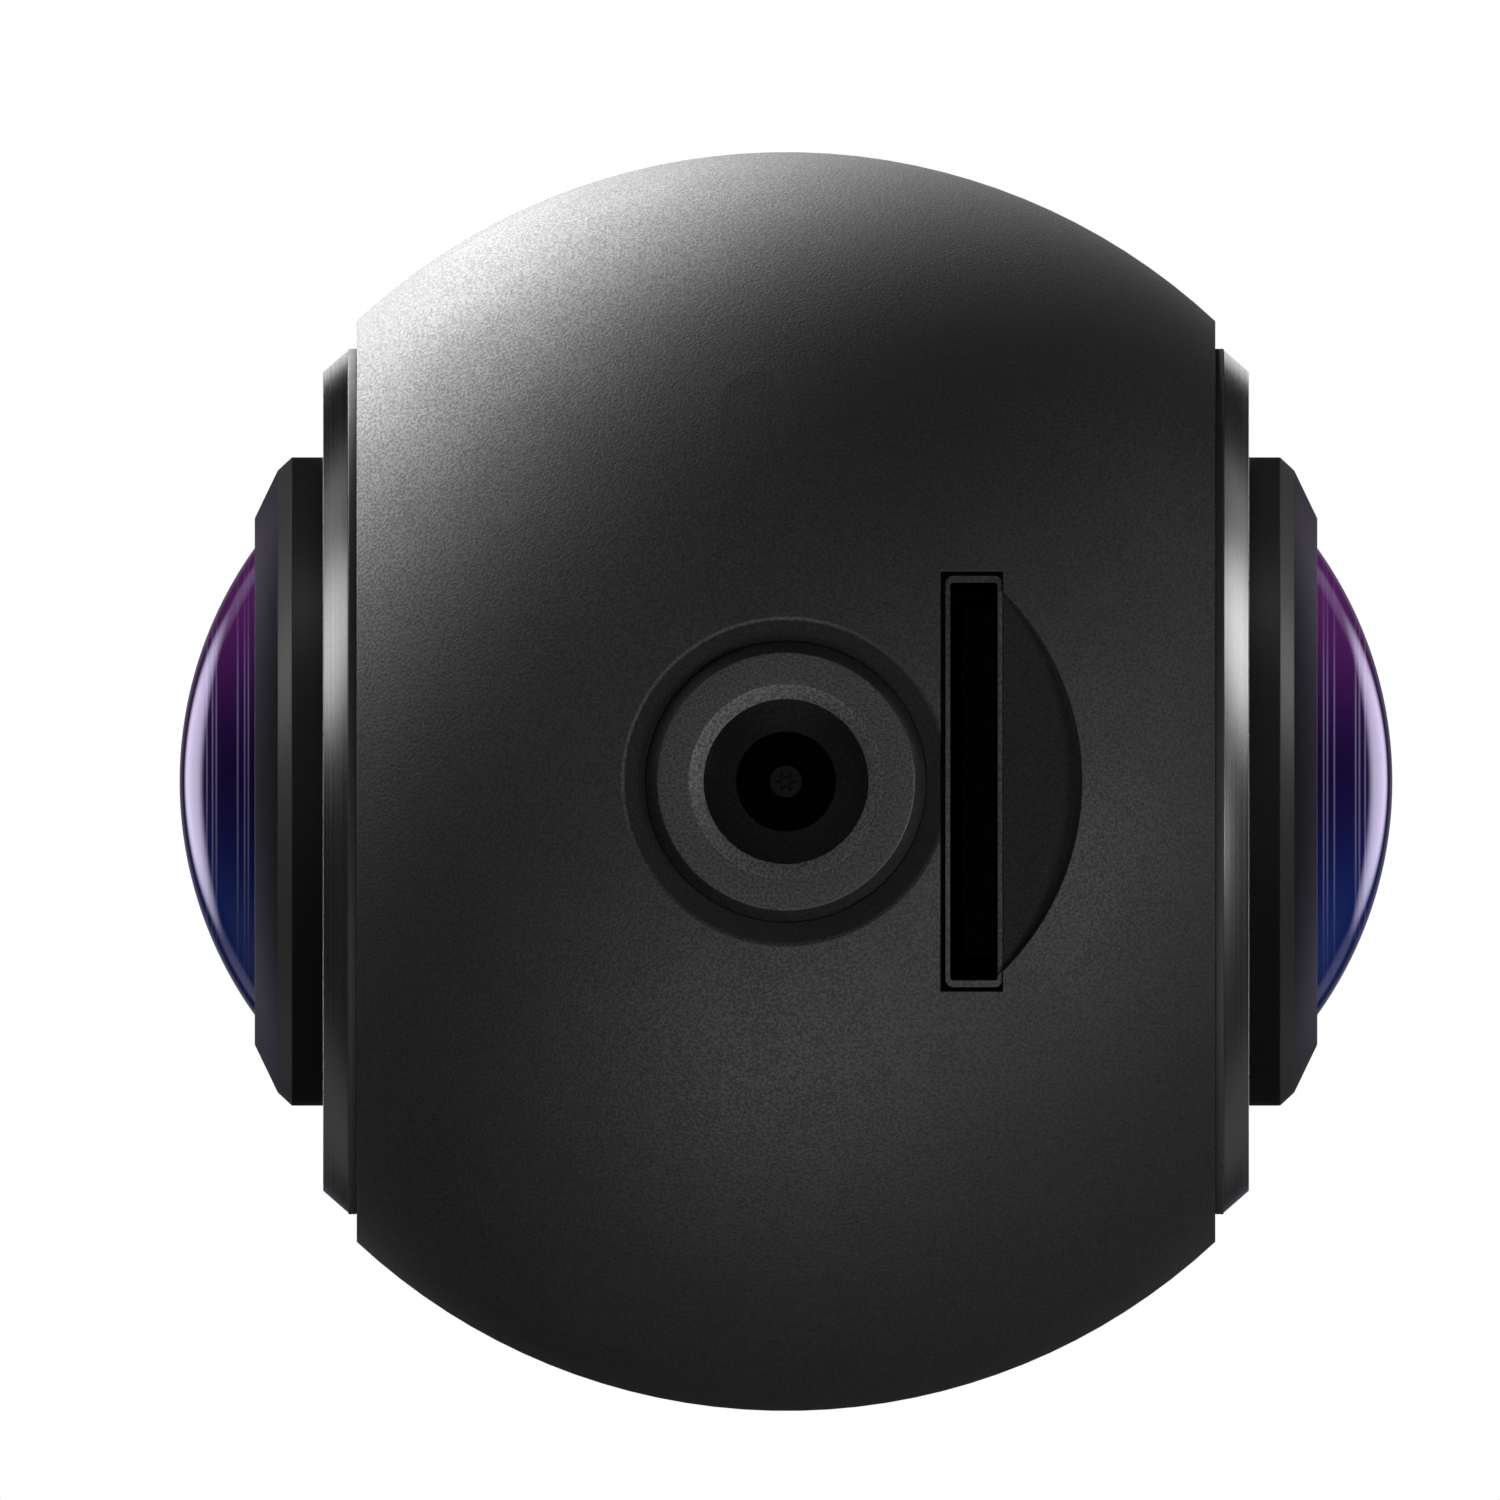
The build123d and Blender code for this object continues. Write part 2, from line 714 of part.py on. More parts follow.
with BuildPart() as chassis:
    with BuildSketch(level(chassis_z, battery_x, battery_y)):
        RectangleRounded(tray_width, tray_length, battery_corner)
    extrude(amount=chassis_height)
    with BuildSketch(level(chassis_z + chassis_floor, battery_x, battery_y)):
        Rectangle(tray_width - 2 * chassis_wall, tray_length - 2 * chassis_wall)
    extrude(amount=chassis_height, mode=Mode.SUBTRACT)
    with BuildSketch(level(chassis_z + ear_rise, battery_x)):
        with Locations(*[(0, y) for y in ear_y_places]):
            RectangleRounded(ear_width, ear_reach + chassis_wall, battery_corner)
    extrude(amount=ear_thickness)
    with BuildSketch(level(chassis_z + ear_rise, battery_x, battery_y)):
        Rectangle(tray_width - 2 * chassis_wall, tray_length - 2 * chassis_wall)
    extrude(amount=ear_thickness, mode=Mode.SUBTRACT)
    with BuildSketch(level(chassis_z, battery_x)):
        with Locations(*[(0, y) for y in ear_y_places]):
            Circle(screw_shank_radius + push_gap)
    extrude(amount=chassis_height, mode=Mode.SUBTRACT)
    with BuildSketch(level(chassis_z)):
        Circle(star_screw_shank_radius)
    extrude(amount=chassis_floor, mode=Mode.SUBTRACT)
    with BuildSketch(level(chassis_z, battery_x, battery_y + tray_end - chassis_wall / 2)):
        Rectangle(usb_width, chassis_wall)
    extrude(amount=usb_board_top_z - usb_board_thickness - chassis_z)
    with BuildSketch(across(battery_x - tray_width)):
        with Locations((battery_y, chassis_z + chassis_height / 2 - seam_z)):
            window_size = (window_share * tray_length, window_share * chassis_height)
            RectangleRounded(*window_size, battery_corner)
    extrude(amount=tray_width, mode=Mode.SUBTRACT)
    with BuildSketch(level(usb_board_top_z - usb_board_thickness, battery_x, battery_y + tray_end)):
        Rectangle(usb_width, usb_shelf_reach + chassis_wall)
        with Locations((0, -usb_shelf_reach)):
            Rectangle(usb_width, 2 * (usb_shelf_reach - chassis_wall), mode=Mode.SUBTRACT)
    extrude(amount=-usb_shelf_thickness)
    with BuildSketch(across(chassis_right_x)):
        with Locations(*board_screw_places):
            Circle(standoff_radius)
    extrude(amount=standoff_length)
    with BuildSketch(across(board_rear_x)):
        with Locations(*board_screw_places):
            Circle(screw_shank_radius)
    extrude(amount=-(standoff_length + chassis_wall), mode=Mode.SUBTRACT)
keep(chassis.part, "chassis")

with BuildPart() as battery:
    with BuildSketch(level(battery_z, battery_x, battery_y)):
        RectangleRounded(battery_width, battery_length, battery_corner)
    extrude(amount=battery_height)
    chamfer(battery.faces().group_by(Axis.Z)[-1].edges(), battery_corner / 2)
keep(battery.part, "battery")

with BuildPart() as chassis_screws:
    with BuildSketch(level(ear_top_z, battery_x)):
        with Locations(*[(0, y) for y in ear_y_places]):
            Circle(screw_head_radius)
    extrude(amount=screw_head_height)
    with BuildSketch(level(ear_top_z, battery_x)):
        with Locations(*[(0, y) for y in ear_y_places]):
            Circle(screw_shank_radius)
    extrude(amount=-(ear_thickness + ear_rise / 2 - slip_gap))
keep(chassis_screws.part, "chassis_screws")

# Main board: round, cut flat above the slot frame

with BuildPart() as main_board:
    with BuildSketch(across(board_rear_x)):
        Circle(board_radius)
        with Locations((0, board_low_z + board_radius - seam_z)):
            Rectangle(2 * board_radius, 2 * board_radius, mode=Mode.INTERSECT)
        with Locations(*board_screw_places):
            Circle(screw_shank_radius + push_gap, mode=Mode.SUBTRACT)
    extrude(amount=board_thickness)
keep(main_board.part, "main_board")

with BuildPart() as board_screws:
    with BuildSketch(across(board_front_x)):
        with Locations(*board_screw_places):
            Circle(screw_head_radius)
    extrude(amount=screw_head_height)
    with BuildSketch(across(board_front_x)):
        with Locations(*board_screw_places):
            Circle(screw_shank_radius)
    extrude(amount=-(board_thickness + standoff_length))
keep(board_screws.part, "board_screws")

processor_rise = sensor_board_side / 2 + processor_gap + processor_side / 2

with BuildPart() as processor:
    with BuildSketch(across(board_front_x)):
        with Locations((0, processor_rise)):
            Rectangle(processor_side, processor_side)
    extrude(amount=processor_thickness)
keep(processor.part, "processor")

with BuildPart() as heat_spreader:
    with BuildSketch(across(board_front_x + processor_thickness)):
        with Locations((0, processor_rise)):
            RectangleRounded(processor_side + slip_gap, processor_side + slip_gap, screw_shank_radius)
    extrude(amount=spreader_thickness)
keep(heat_spreader.part, "heat_spreader")

# Small chips on the main board, and the long chip of the wireless antenna
chip_y = processor_side / 2 + chip_thickness

with BuildPart() as board_chips:
    with BuildSketch(across(board_front_x)):
        with Locations((chip_y + 2 * chip_thickness, processor_rise + 2 * chip_thickness)):
            Rectangle(3 * chip_thickness, 4 * chip_thickness)
        with Locations((-chip_y - 3 * chip_thickness, processor_rise - 3 * chip_thickness)):
            Rectangle(4 * chip_thickness, 3 * chip_thickness)
        with Locations((-chip_y - 2 * chip_thickness, processor_rise + 3 * chip_thickness)):
            Rectangle(2 * chip_thickness, 2 * chip_thickness)
        with Locations((antenna_inset - board_radius, antenna_width)):
            Rectangle(antenna_width, antenna_length)
    extrude(amount=chip_thickness)
keep(board_chips.part, "board_chips")

# USB socket: folded steel shell with the contact tongue inside
with BuildPart() as usb_socket:
    with BuildSketch(usb_plane):
        SlotOverall(usb_width, usb_thickness)
    extrude(amount=-usb_length)
    with BuildSketch(usb_plane):
        SlotOverall(usb_width - 2 * usb_wall, usb_thickness - 2 * usb_wall)
    extrude(amount=-usb_depth, mode=Mode.SUBTRACT)
    with BuildSketch(usb_plane.offset(-usb_length)):
        Rectangle(usb_tongue_width, usb_tongue_thickness)
    extrude(amount=usb_length - usb_depth + usb_tongue_length)
keep(usb_socket.part, "usb_socket")

# Board under the USB socket, on the chassis's shelf
usb_board_low_y = battery_y + tray_end + loose_gap
usb_board_high_y = usb_mouth_y - usb_board_setback

with BuildPart() as usb_board:
    with BuildSketch(level(usb_board_top_z, usb_x, (usb_board_low_y + usb_board_high_y) / 2)):
        Rectangle(usb_width + usb_board_margin, usb_board_high_y - usb_board_low_y)
    extrude(amount=-usb_board_thickness)
keep(usb_board.part, "usb_board")

# Shutter button: cap with a shallow dish, flange under the shell, stem over the switch
button_crown_z = seam_z + ball_radius
button_inner_z = button_pad_z - slip_gap

with BuildPart() as shutter_button:
    with BuildSketch(level(button_inner_z - button_flange_height)):
        Circle(button_radius)
    extrude(amount=button_crown_z - button_inner_z + button_flange_height)
    with Locations(centre):
        Sphere(ball_radius - button_recess, mode=Mode.INTERSECT)
    dish_radius = (button_radius**2 / button_dish + button_dish) / 2
    with Locations((0, 0, button_crown_z - button_recess - button_dish + dish_radius)):
        Sphere(dish_radius, mode=Mode.SUBTRACT)
    with BuildSketch(level(button_inner_z - button_flange_height)):
        Circle(button_radius + button_flange)
    extrude(amount=button_flange_height)
    with BuildSketch(level(stem_low_z)):
        Circle(button_stem_radius)
    extrude(amount=button_inner_z - button_flange_height - stem_low_z)
keep(shutter_button.part, "shutter_button")

# Button board, hung from two bosses of the upper shell, with switch, light and microphone
with BuildPart() as button_board:
    with BuildSketch(level(button_board_top_z)):
        RectangleRounded(button_board_width, button_board_length, button_board_corner)
        with Locations((0, -button_boss_place), (0, button_boss_place)):
            Circle(screw_shank_radius + push_gap, mode=Mode.SUBTRACT)
    extrude(amount=-button_board_thickness)
keep(button_board.part, "button_board")

with BuildPart() as button_board_screws:
    with BuildSketch(level(button_board_top_z - button_board_thickness)):
        with Locations((0, -button_boss_place), (0, button_boss_place)):
            Circle(screw_head_radius)
    extrude(amount=-screw_head_height)
    with BuildSketch(level(button_board_top_z - button_board_thickness)):
        with Locations((0, -button_boss_place), (0, button_boss_place)):
            Circle(screw_shank_radius)
    extrude(amount=button_board_thickness + switch_height - slip_gap)
keep(button_board_screws.part, "button_board_screws")

with BuildPart() as button_switch:
    with BuildSketch(level(button_board_top_z)):
        Rectangle(switch_side, switch_side)
    extrude(amount=switch_height - switch_dome_height)
    with BuildSketch(level(switch_top_z)):
        Circle(switch_dome_radius)
    extrude(amount=-switch_height)
keep(button_switch.part, "button_switch")

with BuildPart() as status_led:
    with BuildSketch(level(button_board_top_z, 0, -light_place)):
        Rectangle(led_side, led_side)
    extrude(amount=led_height)
keep(status_led.part, "status_led")

with BuildPart() as light_pipe:
    with BuildSketch(level(button_board_top_z + led_height + slip_gap, 0, -light_place)):
        Circle(light_radius)
    extrude(amount=button_board_drop)
    with Locations(centre):
        Sphere(ball_radius - frame_recess, mode=Mode.INTERSECT)
keep(light_pipe.part, "light_pipe")

with BuildPart() as microphone:
    with BuildSketch(level(button_board_top_z, 0, light_place)):
        Rectangle(mic_side, mic_side)
    extrude(amount=mic_height)
keep(microphone.part, "microphone")

# Lead from the battery's top over the tray to the main board
lead_low_z = battery_z + battery_height

with BuildPart() as battery_lead:
    with BuildSketch(Plane.XZ.offset(-battery_y)):
        with BuildLine():
            Polyline(
                (battery_x, lead_low_z),
                (board_rear_x, lead_low_z),
                (board_rear_x, lead_low_z + flex_thickness),
                (battery_x, lead_low_z + flex_thickness),
                close=True,
            )
        make_face()
    extrude(amount=flex_width / 2, both=True)
keep(battery_lead.part, "battery_lead")


# Lens modules, one on each flat
def ring_gasket(side):
    return tube(barrel_radius + slip_gap, gasket_radius, flat_x, gasket_front_x, side)


def trim_ring(side):
    outline = [
        (gasket_front_x, barrel_radius + slip_gap),
        (trim_front_x, barrel_radius + slip_gap),
        (trim_front_x, trim_face_radius),
        (gasket_front_x, trim_base_radius),
    ]
    return turned(outline, side)


def lens_barrel(side):
    first_bevel_radius = barrel_radius - first_bevel_drop
    face_radius = first_bevel_radius - second_bevel_drop
    seat_radius = dome_base_radius + push_gap
    groove_radius = barrel_body_radius + slip_gap - seal_section
    groove_low_x = flange_rear_x - 2 * seal_section
    outline = [
        (barrel_rear_x, rear_back_clear + slip_gap),
        (barrel_rear_x, barrel_tube_radius),
        (body_rear_x, barrel_tube_radius),
        (body_rear_x, barrel_body_radius),
        (groove_low_x, barrel_body_radius),
        (groove_low_x, groove_radius),
        (groove_low_x + seal_section, groove_radius),
        (groove_low_x + seal_section, barrel_body_radius),
        (flange_rear_x, barrel_body_radius),
        (flange_rear_x, flange_radius),
        (flat_x, flange_radius),
        (flat_x, barrel_radius),
        (shoulder_x, barrel_radius),
        (first_bevel_x, first_bevel_radius),
        (barrel_front_x, face_radius),
        (barrel_front_x, seat_radius),
        (front_rear_x, seat_radius),
        (front_rear_x, large_bore_radius + push_gap),
        (second_rear_x, large_bore_radius + push_gap),
        (second_rear_x, small_bore_radius + push_gap),
        (rear_rear_x, small_bore_radius + push_gap),
        (rear_rear_x, rear_back_clear + slip_gap),
    ]
    with BuildPart() as barrel:
        add(turned(outline, side))
        with BuildSketch(across(side * flat_x)):
            with PolarLocations(flange_screw_circle, flange_screw_count, start_angle=flange_screw_angle):
                Circle(screw_head_radius + slip_gap)
        extrude(amount=-side * (screw_head_height + push_gap), mode=Mode.SUBTRACT)
        with BuildSketch(across(side * flat_x)):
            with PolarLocations(flange_screw_circle, flange_screw_count, start_angle=flange_screw_angle):
                Circle(screw_shank_radius + slip_gap)
        extrude(amount=-side * flange_thickness, mode=Mode.SUBTRACT)
    return barrel.part


def barrel_seal(side):
    seal_x = flange_rear_x - 1.5 * seal_section
    seal_radius = barrel_body_radius + slip_gap - seal_section / 2
    with BuildPart() as seal:
        with BuildSketch(lens_plane):
            with Locations((side * seal_x, seal_radius)):
                Rectangle(seal_section - slip_gap, seal_section)
        revolve(axis=lens_axis)
    return seal.part


def flange_screws(side):
    with BuildPart() as screws:
        with BuildSketch(across(side * flange_screw_head_x)):
            with PolarLocations(flange_screw_circle, flange_screw_count, start_angle=flange_screw_angle):
                Circle(screw_head_radius)
        extrude(amount=-side * screw_head_height)
        with BuildSketch(across(side * flange_screw_head_x)):
            with PolarLocations(flange_screw_circle, flange_screw_count, start_angle=flange_screw_angle):
                Circle(screw_shank_radius)
        extrude(amount=-side * (screw_head_height + flange_screw_length))
    return screws.part


def front_lens(side):
    rims = (dome_base_radius, front_rear_x, barrel_front_x)
    return lens_element(side, *rims, dome_base_radius, dome_sag, front_rear_clear, front_rear_sag)


def second_lens(side):
    rims = (large_bore_radius, second_rear_x, second_front_x)
    return lens_element(side, *rims, second_clear, second_front_sag, second_rear_clear, second_rear_sag)


def third_lens(side):
    rims = (small_bore_radius, third_rear_x, third_front_x)
    return lens_element(side, *rims, third_clear, third_sag, third_clear, 0)


def rear_lens(side):
    rims = (small_bore_radius, rear_rear_x, rear_front_x)
    return lens_element(side, *rims, third_clear, rear_front_sag, rear_back_clear, -rear_back_sag)


def lens_rings(side):
    """Retaining ring in front of the second lens and the two spacers behind it."""
    inner = small_bore_radius - spacer_wall
    with BuildPart() as rings:
        add(tube(second_clear, large_bore_radius, second_front_x, retainer_front_x, side))
        add(tube(inner, small_bore_radius, third_front_x, second_rear_x, side))
        add(tube(inner, small_bore_radius, rear_front_x, stop_rear_x, side))
    return rings.part


def aperture_stop(side):
    return tube(stop_radius, small_bore_radius, stop_rear_x, third_rear_x, side)


def sensor_holder(side):
    with BuildPart() as holder:
        with BuildSketch(across(side * sensor_board_front_x)):
            RectangleRounded(holder_side, holder_side, screw_head_radius)
        extrude(amount=side * (barrel_rear_x + holder_grip - sensor_board_front_x))
        with BuildSketch(across(side * barrel_rear_x)):
            Circle(barrel_tube_radius + slip_gap)
        extrude(amount=side * (holder_grip + overrun), mode=Mode.SUBTRACT)
        with BuildSketch(across(side * sensor_board_front_x)):
            Rectangle(sensor_cavity_side, sensor_cavity_side)
        extrude(amount=side * (filter_front_x - sensor_board_front_x), mode=Mode.SUBTRACT)
        with BuildSketch(across(side * filter_front_x)):
            Circle(window_radius)
        extrude(amount=side * (window_depth + overrun), mode=Mode.SUBTRACT)
    return holder.part


def ir_filter(side):
    with BuildPart() as filter_glass:
        with BuildSketch(across(side * filter_rear_x)):
            Rectangle(filter_side, filter_side)
        extrude(amount=side * filter_thickness)
    return filter_glass.part


def image_sensor(side):
    with BuildPart() as sensor:
        with BuildSketch(across(side * sensor_board_front_x)):
            Rectangle(sensor_width, sensor_height)
        extrude(amount=side * sensor_thickness)
    return sensor.part


def sensor_board(side):
    with BuildPart() as board:
        with BuildSketch(across(side * sensor_board_rear_x)):
            RectangleRounded(sensor_board_side, sensor_board_side, screw_head_radius)
        extrude(amount=side * sensor_board_thickness)
    return board.part


def sensor_flex(side):
    """Flexible strip from the back of the sensor board, over the top, to the main board."""
    rear_x = side * sensor_board_rear_x
    target_x = board_front_x if side > 0 else board_rear_x
    rise_z = seam_z + sensor_board_side / 2 + loose_gap if side > 0 else lead_low_z + flex_rise
    sheet_x = rear_x - side * flex_thickness
    foot_z = seam_z + sensor_board_side / 2 - flex_width / 2
    with BuildPart() as flex:
        with BuildSketch(Plane.XZ):
            with BuildLine():
                Polyline(
                    (rear_x, foot_z),
                    (rear_x, rise_z + flex_thickness),
                    (target_x, rise_z + flex_thickness),
                    (target_x, rise_z),
                    (sheet_x, rise_z),
                    (sheet_x, foot_z),
                    close=True,
                )
            make_face()
        extrude(amount=flex_width / 2, both=True)
    return flex.part


lens_pieces = [
    ring_gasket,
    trim_ring,
    lens_barrel,
    barrel_seal,
    flange_screws,
    front_lens,
    second_lens,
    third_lens,
    rear_lens,
    lens_rings,
    aperture_stop,
    sensor_holder,
    ir_filter,
    image_sensor,
    sensor_board,
    sensor_flex,
]
for side_name, side in (("left", -1), ("right", 1)):
    for make_piece in lens_pieces:
        keep(make_piece(side), f"{side_name}_{make_piece.__name__}")
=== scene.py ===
import bmesh
import bpy
from math import atan2, cos, pi, radians, sin
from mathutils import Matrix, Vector


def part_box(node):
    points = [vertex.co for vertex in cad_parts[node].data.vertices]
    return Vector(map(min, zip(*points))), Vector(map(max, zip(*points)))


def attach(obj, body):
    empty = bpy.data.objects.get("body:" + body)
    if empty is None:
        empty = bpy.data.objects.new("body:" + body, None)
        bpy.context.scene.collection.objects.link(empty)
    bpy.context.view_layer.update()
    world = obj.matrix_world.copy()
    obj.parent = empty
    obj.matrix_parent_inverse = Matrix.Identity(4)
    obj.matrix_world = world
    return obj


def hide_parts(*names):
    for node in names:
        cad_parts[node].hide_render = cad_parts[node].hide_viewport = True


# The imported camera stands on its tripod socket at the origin. Everything is in metres.
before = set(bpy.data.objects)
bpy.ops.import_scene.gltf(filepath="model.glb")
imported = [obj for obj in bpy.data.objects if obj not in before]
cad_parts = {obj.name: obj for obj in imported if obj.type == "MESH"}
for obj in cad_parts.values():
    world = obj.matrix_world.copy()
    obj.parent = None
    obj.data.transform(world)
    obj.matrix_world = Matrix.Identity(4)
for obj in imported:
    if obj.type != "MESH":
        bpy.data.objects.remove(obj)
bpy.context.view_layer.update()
mm = 0.001


# Lower shell: half of the ball, moulded in plastic and sprayed satin black with a fine grain.
# It carries the tripod seat, the card slot and the half-moon finger scoop.
def feed(tree, node, inputs):
    """Sets a node's inputs, by name or place, from sockets, numbers, vectors or colours."""
    for name, value in inputs.items():
        socket = node.inputs[name]
        if isinstance(value, bpy.types.NodeSocket):
            tree.links.new(value, socket)
        elif socket.type == "RGBA":
            socket.default_value = (*value, 1.0)
        else:
            socket.default_value = value


def add(tree, kind, inputs, **settings):
    """New node with its settings and inputs."""
    node = tree.nodes.new(kind)
    for setting, value in settings.items():
        setattr(node, setting, value)
    feed(tree, node, inputs)
    return node


def new_material(name):
    """Material with its Principled shader and the object's own coordinates."""
    material = bpy.data.materials.new(name)
    material.use_nodes = True
    tree = material.node_tree
    place = tree.nodes.new("ShaderNodeTexCoord").outputs["Object"]
    return material, tree, tree.nodes["Principled BSDF"], place


def math_node(tree, operation, *values):
    """Result of a Math node on sockets or numbers."""
    return add(tree, "ShaderNodeMath", dict(enumerate(values)), operation=operation).outputs[0]


def noise(tree, place, size, detail=2.0, roughness=0.5):
    """Noise whose grains are about the given size."""
    inputs = {"Vector": place, "Scale": 1.0 / size, "Detail": detail, "Roughness": roughness}
    return add(tree, "ShaderNodeTexNoise", inputs).outputs["Fac"]


def blend_colours(tree, factor, low, high):
    """Colour between two others."""
    inputs = {"Factor": factor, "A": low, "B": high}
    return add(tree, "ShaderNodeMix", inputs, data_type="RGBA").outputs["Result"]


def ramp(tree, factor, low, high, to_low=0.0, to_high=1.0):
    """Smooth step of a factor from one range to another."""
    inputs = {"Value": factor, "From Min": low, "From Max": high, "To Min": to_low, "To Max": to_high}
    return add(tree, "ShaderNodeMapRange", inputs, interpolation_type="SMOOTHSTEP").outputs["Result"]


def bump(tree, shader, height, depth, edge=0.0):
    """Relief of the given depth, over edges that are rounded in the shading."""
    relief = add(tree, "ShaderNodeBump", {"Height": height, "Distance": depth})
    if edge:
        rounding = add(tree, "ShaderNodeBevel", {"Radius": edge})
        feed(tree, relief, {"Normal": rounding.outputs["Normal"]})
    feed(tree, shader, {"Normal": relief.outputs["Normal"]})


def dress(material, *node_names):
    """Gives CAD nodes their material."""
    for node_name in node_names:
        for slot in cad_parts[node_name].material_slots:
            slot.material = material


seam_z = (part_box("left_ring_gasket")[0].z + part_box("left_ring_gasket")[1].z) / 2
ball_centre = Vector((0.0, 0.0, seam_z))
skin_radius = 19.96 * mm
recess_step = 0.06 * mm
recess_roughness = 0.35
shell_grain = 0.085 * mm
shell_mottle = 2.6 * mm
mottle_share = 0.12
speck_range = (0.36, 0.64)
satin_drift = 0.065
shell_relief = 0.014 * mm
shell_edge = 0.06 * mm
# Painted shade: surfaces that lie below the ball's skin, in recesses, are darkened to these colours.
recess_shade_dark = (0.0005, 0.0005, 0.0005)
recess_shade_light = (0.004, 0.004, 0.0041)


def specks(tree, place):
    """Grain of the sprayed paint."""
    return noise(tree, place, shell_grain, detail=1.5, roughness=0.6)


def sprayed_paint(name, dark, light, gloss, relief, skin_height=skin_radius):
    """Satin paint whose fine grain shows as light and dark specks. It is matt in recesses, and darkened
    there with painted shade.
    """
    material, tree, shader, place = new_material(name)
    speckle = specks(tree, place)
    mottle = noise(tree, place, shell_mottle, detail=3.0)
    fine = math_node(tree, "MULTIPLY", speckle, 1.0 - mottle_share)
    grain = math_node(tree, "MULTIPLY_ADD", mottle, mottle_share, fine)
    contrast = ramp(tree, grain, *speck_range)
    height = add(tree, "ShaderNodeVectorMath", {0: place, 1: ball_centre}, operation="DISTANCE")
    # Below the skin the paint turns to painted shade and goes matt.
    recess = ramp(tree, height.outputs["Value"], skin_height - recess_step, skin_height, 1.0, 0.0)
    skin = blend_colours(tree, contrast, dark, light)
    painted_recess_shade = blend_colours(tree, contrast, recess_shade_dark, recess_shade_light)
    satin = ramp(tree, grain, *speck_range, gloss + satin_drift, gloss - satin_drift)
    feed(tree, shader, {
        "Base Color": blend_colours(tree, recess, skin, painted_recess_shade),
        "Roughness": math_node(tree, "MULTIPLY_ADD", recess, recess_roughness, satin),
        "Specular IOR Level": 1.0,
    })
    bump(tree, shader, speckle, relief, shell_edge)
    return material


shell_paint = sprayed_paint(
    "satin_black_paint",
    dark=(0.002, 0.002, 0.0021),
    light=(0.024, 0.024, 0.0246),
    gloss=0.64,
    relief=shell_relief,
)
dress(shell_paint, "shell_lower")


# Upper shell: the other half of the ball, sprayed with the lower one.
# It has the button's well, the light and sound holes and the opening for the USB socket.
dress(shell_paint, "shell_upper")


# Chassis, battery and boards: what the shells close over. A moulded tray carries a pouch cell,
# and green boards with moulded chips stand beside it. Little of it shows through the openings.
sides = (("left", -1.0), ("right", 1.0))
texture_range = (0.3, 0.7)
texture_gloss_drift = 0.06
texture_relief = 0.01 * mm
texture_edge = 0.04 * mm
track_size = 1.2 * mm
track_range = (0.42, 0.5)
track_relief = 0.02 * mm


def both(*names):
    """Names of the left and right lens modules' pieces."""
    return [f"{side_name}_{name}" for side_name, _ in sides for name in names]


def moulded_plastic(name, dark, light, gloss, grain):
    """Surface with a soft texture, such as plastic, foil, film or rubber takes from its mould."""
    material, tree, shader, place = new_material(name)
    texture = noise(tree, place, grain, detail=3.0)
    smoother, rougher = gloss - texture_gloss_drift, gloss + texture_gloss_drift
    feed(tree, shader, {
        "Base Color": blend_colours(tree, texture, dark, light),
        "Roughness": ramp(tree, texture, *texture_range, smoother, rougher),
    })
    bump(tree, shader, texture, texture_relief, texture_edge)
    return material


black_plastic = moulded_plastic(
    "black_glass_filled_plastic",
    dark=(0.018, 0.018, 0.019),
    light=(0.035, 0.035, 0.036),
    gloss=0.55,
    grain=0.25 * mm,
)
dress(black_plastic, "chassis", *both("sensor_holder"))

foil = moulded_plastic(
    "battery_foil",
    dark=(0.42, 0.43, 0.45),
    light=(0.55, 0.56, 0.58),
    gloss=0.38,
    grain=1.1 * mm,
)
dress(foil, "battery")

amber_film = moulded_plastic(
    "amber_film",
    dark=(0.3, 0.14, 0.03),
    light=(0.42, 0.22, 0.06),
    gloss=0.35,
    grain=0.6 * mm,
)
dress(amber_film, "battery_lead", *both("sensor_flex"))

chip_black = moulded_plastic(
    "chip_black",
    dark=(0.014, 0.014, 0.015),
    light=(0.028, 0.028, 0.03),
    gloss=0.5,
    grain=0.15 * mm,
)
dress(chip_black, "processor", "board_chips", "button_switch", "microphone", *both("image_sensor"))


def solder_mask(name, lacquer, track):
    """Green lacquer over fine square copper tracks."""
    material, tree, shader, place = new_material(name)
    squares = {"Vector": place, "Scale": 1.0 / track_size}
    tracks = add(tree, "ShaderNodeTexVoronoi", squares, distance="MANHATTAN")
    copper = ramp(tree, tracks.outputs["Distance"], *track_range)
    feed(tree, shader, {
        "Base Color": blend_colours(tree, copper, lacquer, track),
        "Roughness": 0.32,
        "Coat Weight": 0.5,
    })
    bump(tree, shader, copper, track_relief)
    return material


board_green = solder_mask("green_solder_mask", lacquer=(0.008, 0.06, 0.022), track=(0.03, 0.16, 0.06))
dress(board_green, "main_board", "button_board", "usb_board", *both("sensor_board"))


# Small steel: screws, the USB socket and the heat spreader.
# It is drawn sheet and wire with a bright plating, and shows fine draw marks.
draw_mark_size = 0.05 * mm
draw_mark_range = (0.25, 0.75)
mark_relief = 0.003 * mm
steel_edge = 0.04 * mm


def drawn_metal(name, dark, light, gloss, stretch):
    """Metal whose marks run along the axis that the stretch shortens."""
    material, tree, shader, place = new_material(name)
    mapping = add(tree, "ShaderNodeMapping", {"Vector": place, "Scale": stretch})
    marks = noise(tree, mapping.outputs["Vector"], draw_mark_size, detail=4.0, roughness=0.6)
    smoother, rougher = gloss - 0.06, gloss + 0.08
    feed(tree, shader, {
        "Base Color": blend_colours(tree, marks, dark, light),
        "Metallic": 1.0,
        "Roughness": ramp(tree, marks, *draw_mark_range, smoother, rougher),
    })
    bump(tree, shader, marks, mark_relief, steel_edge)
    return material


